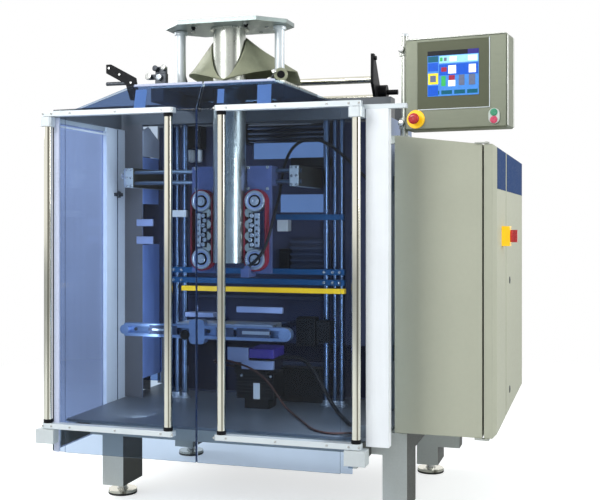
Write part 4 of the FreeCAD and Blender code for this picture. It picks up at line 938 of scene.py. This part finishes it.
# Raised edge round the bezel, with a painted highlight on the two sides where it faces the light and painted
# shade on the other two.
trim_x0, trim_x1, trim_z0, trim_z1 = PANEL_X0 + 50, PANEL_X0 + 315, PANEL_Z0 + 75, PANEL_Z0 + 321
TRIM_Y = PANEL_Y - 3.6
with_panel(boxes("bezel_trim_highlight", [
    ((trim_x1, TRIM_Y, trim_z0 - 3), (trim_x1 + 3, PANEL_Y, trim_z1 + 3)),
    ((trim_x0, TRIM_Y, trim_z0 - 3), (trim_x1, PANEL_Y, trim_z0))], looks["bar"], "operator_panel", 0.8))
with_panel(boxes("bezel_shade", [
    ((trim_x0 - 3, TRIM_Y, trim_z0 - 3), (trim_x0, PANEL_Y, trim_z1 + 3)),
    ((trim_x0, TRIM_Y, trim_z1), (trim_x1, PANEL_Y, trim_z1 + 3))], panel_steel, "operator_panel", 0.8))
with_panel(boxes("panel_lip", [
    ((PANEL_X0 + 378.5, PANEL_Y - 0.8, PANEL_Z0 + 6), (PANEL_X0 + 382, PANEL_Y + 14, PANEL_Z0 + 329)),
    ((PANEL_X0 + 6, PANEL_Y - 0.8, PANEL_Z0 + 332.5), (PANEL_X0 + 374, PANEL_Y + 14, PANEL_Z0 + 336)),
    ((PANEL_X0 + 378.5, PANEL_Y + 88, PANEL_Z0 + 6), (PANEL_X0 + 382, PANEL_Y + 104, PANEL_Z0 + 329))],
    looks["stainless"], "operator_panel", 1.0))
turned("post_cap", [(POST.x, POST.y, 1758.0)], [(12.6, 0), (14.5, 0.8), (14.5, 8), (12, 10.5), (4, 11)],
       (0, 0, 1),
       looks["bar"], "frame", 32)
knob = [(4, 0), (4, 8), (11, 9), (12.5, 12), (12.5, 20), (10, 23), (3, 24)]
with_panel(turned("clamp_knobs", [(POST.x, POST.y - 19.5, PANEL_Z0 + z) for z in (30, 305)], knob,
                  (0, -1, 0), bolt_steel, "operator_panel"))

# Camera, lights and floor. The camera's place, turn and lens are solved from the photo's vanishing lines.

scene = bpy.context.scene
camera = bpy.data.cameras.new("camera")
camera.lens = 59.25
camera.sensor_width = 36
camera.shift_y = -0.052
camera.clip_end = 100
eye = bpy.data.objects.new("camera", camera)
eye.location = at(1356, -3189, 1073.5)
eye.rotation_euler = (math.radians(90), 0, math.radians(17.05))
scene.collection.objects.link(eye)
scene.camera = eye


def softbox(name, place, aim, width, height, power):
    """A rectangular lamp that lights from its place towards its aim and doesn't show itself."""
    lamp = bpy.data.lights.new(name, "AREA")
    lamp.shape = "RECTANGLE"
    lamp.size, lamp.size_y = width, height
    lamp.energy = power
    obj = bpy.data.objects.new(name, lamp)
    obj.location = at(*place)
    obj.rotation_euler = (at(*aim) - obj.location).to_track_quat("-Z", "Y").to_euler()
    obj.visible_camera = False
    obj.visible_transmission = False
    scene.collection.objects.link(obj)


softbox("key", (-1900, -3600, 3600), (100, 300, 800), 2.4, 2.4, 150)
softbox("fill", (4300, 200, 2400), (900, 500, 900), 2.0, 2.6, 76)
softbox("inner_right", (505, 60, 860), (-300, 420, 860), 0.06, 1.0, 4.5)
softbox("inner_left", (-300, 170, 880), (-577, 480, 880), 0.06, 1.1, 2.4)
softbox("tank_box", (-2600, 1200, 2600), (0, 400, 1300), 1.2, 2.2, 40)

# The room is white behind the machine and for its light. Metal sees a dimmer band to the camera's right.
scene.world = bpy.data.worlds.new("world")
room = Tree(scene.world)
room.nodes.clear()
off_band = room.turned_from(room.add("TexCoord").outputs["Generated"], math.radians(62))
band = room.span(off_band, math.radians(11), math.radians(26), 0.22, 1.0)
mirrored = room.add("Background", {"Color": band}).outputs[0]
soft = room.add("Background", {"Color": (0.94, 0.97, 1.0, 1.0), "Strength": 0.55}).outputs[0]
white = room.add("Background", {"Color": WHITE}).outputs[0]
unseen = room.mix(room.add("LightPath").outputs["Is Glossy Ray"], soft, mirrored)
room.add("OutputWorld", {0: room.mix(room.seen(), unseen, white)})


def floor_paint():
    """Pale floor that keeps the machine's shadow, and that the camera sees fade into the white room."""
    t = Tree(bpy.data.materials.new("studio_floor"))
    place = t.add("TexCoord").outputs["Object"]
    mottle = t.span(t.noise(2.0, place), 0.3, 0.7, 0.99, 1.01)
    t.surface({"Base Color": t.tint((0.7, 0.72, 0.72, 1.0), mottle, 1.0, "MULTIPLY"), "Roughness": 0.85})
    plain = t.shader.outputs[0]
    glow_without_lamp = t.add("Emission", {"Color": WHITE, "Strength": 0.6}).outputs[0]
    lifted = t.add("AddShader", {0: plain, 1: glow_without_lamp}).outputs[0]
    far = t.add("VectorMath", {0: place}, operation="LENGTH").outputs["Value"]
    room_white = t.add("Emission", {"Color": WHITE}).outputs[0]
    t.end(t.mix(t.seen(), plain, t.mix(t.span(far, 1.6, 4.0, 0.0, 1.0), lifted, room_white)))
    return t.owner


bm = bmesh.new()
bmesh.ops.create_grid(bm, x_segments=1, y_segments=1, size=30.0)
ground = bpy.data.meshes.new("floor")
bm.to_mesh(ground)
bm.free()
ground.materials.append(floor_paint())
floor = bpy.data.objects.new("floor", ground)
floor.location = at(200, 500, -0.3)
scene.collection.objects.link(floor)

scene.view_settings.view_transform = "Standard"
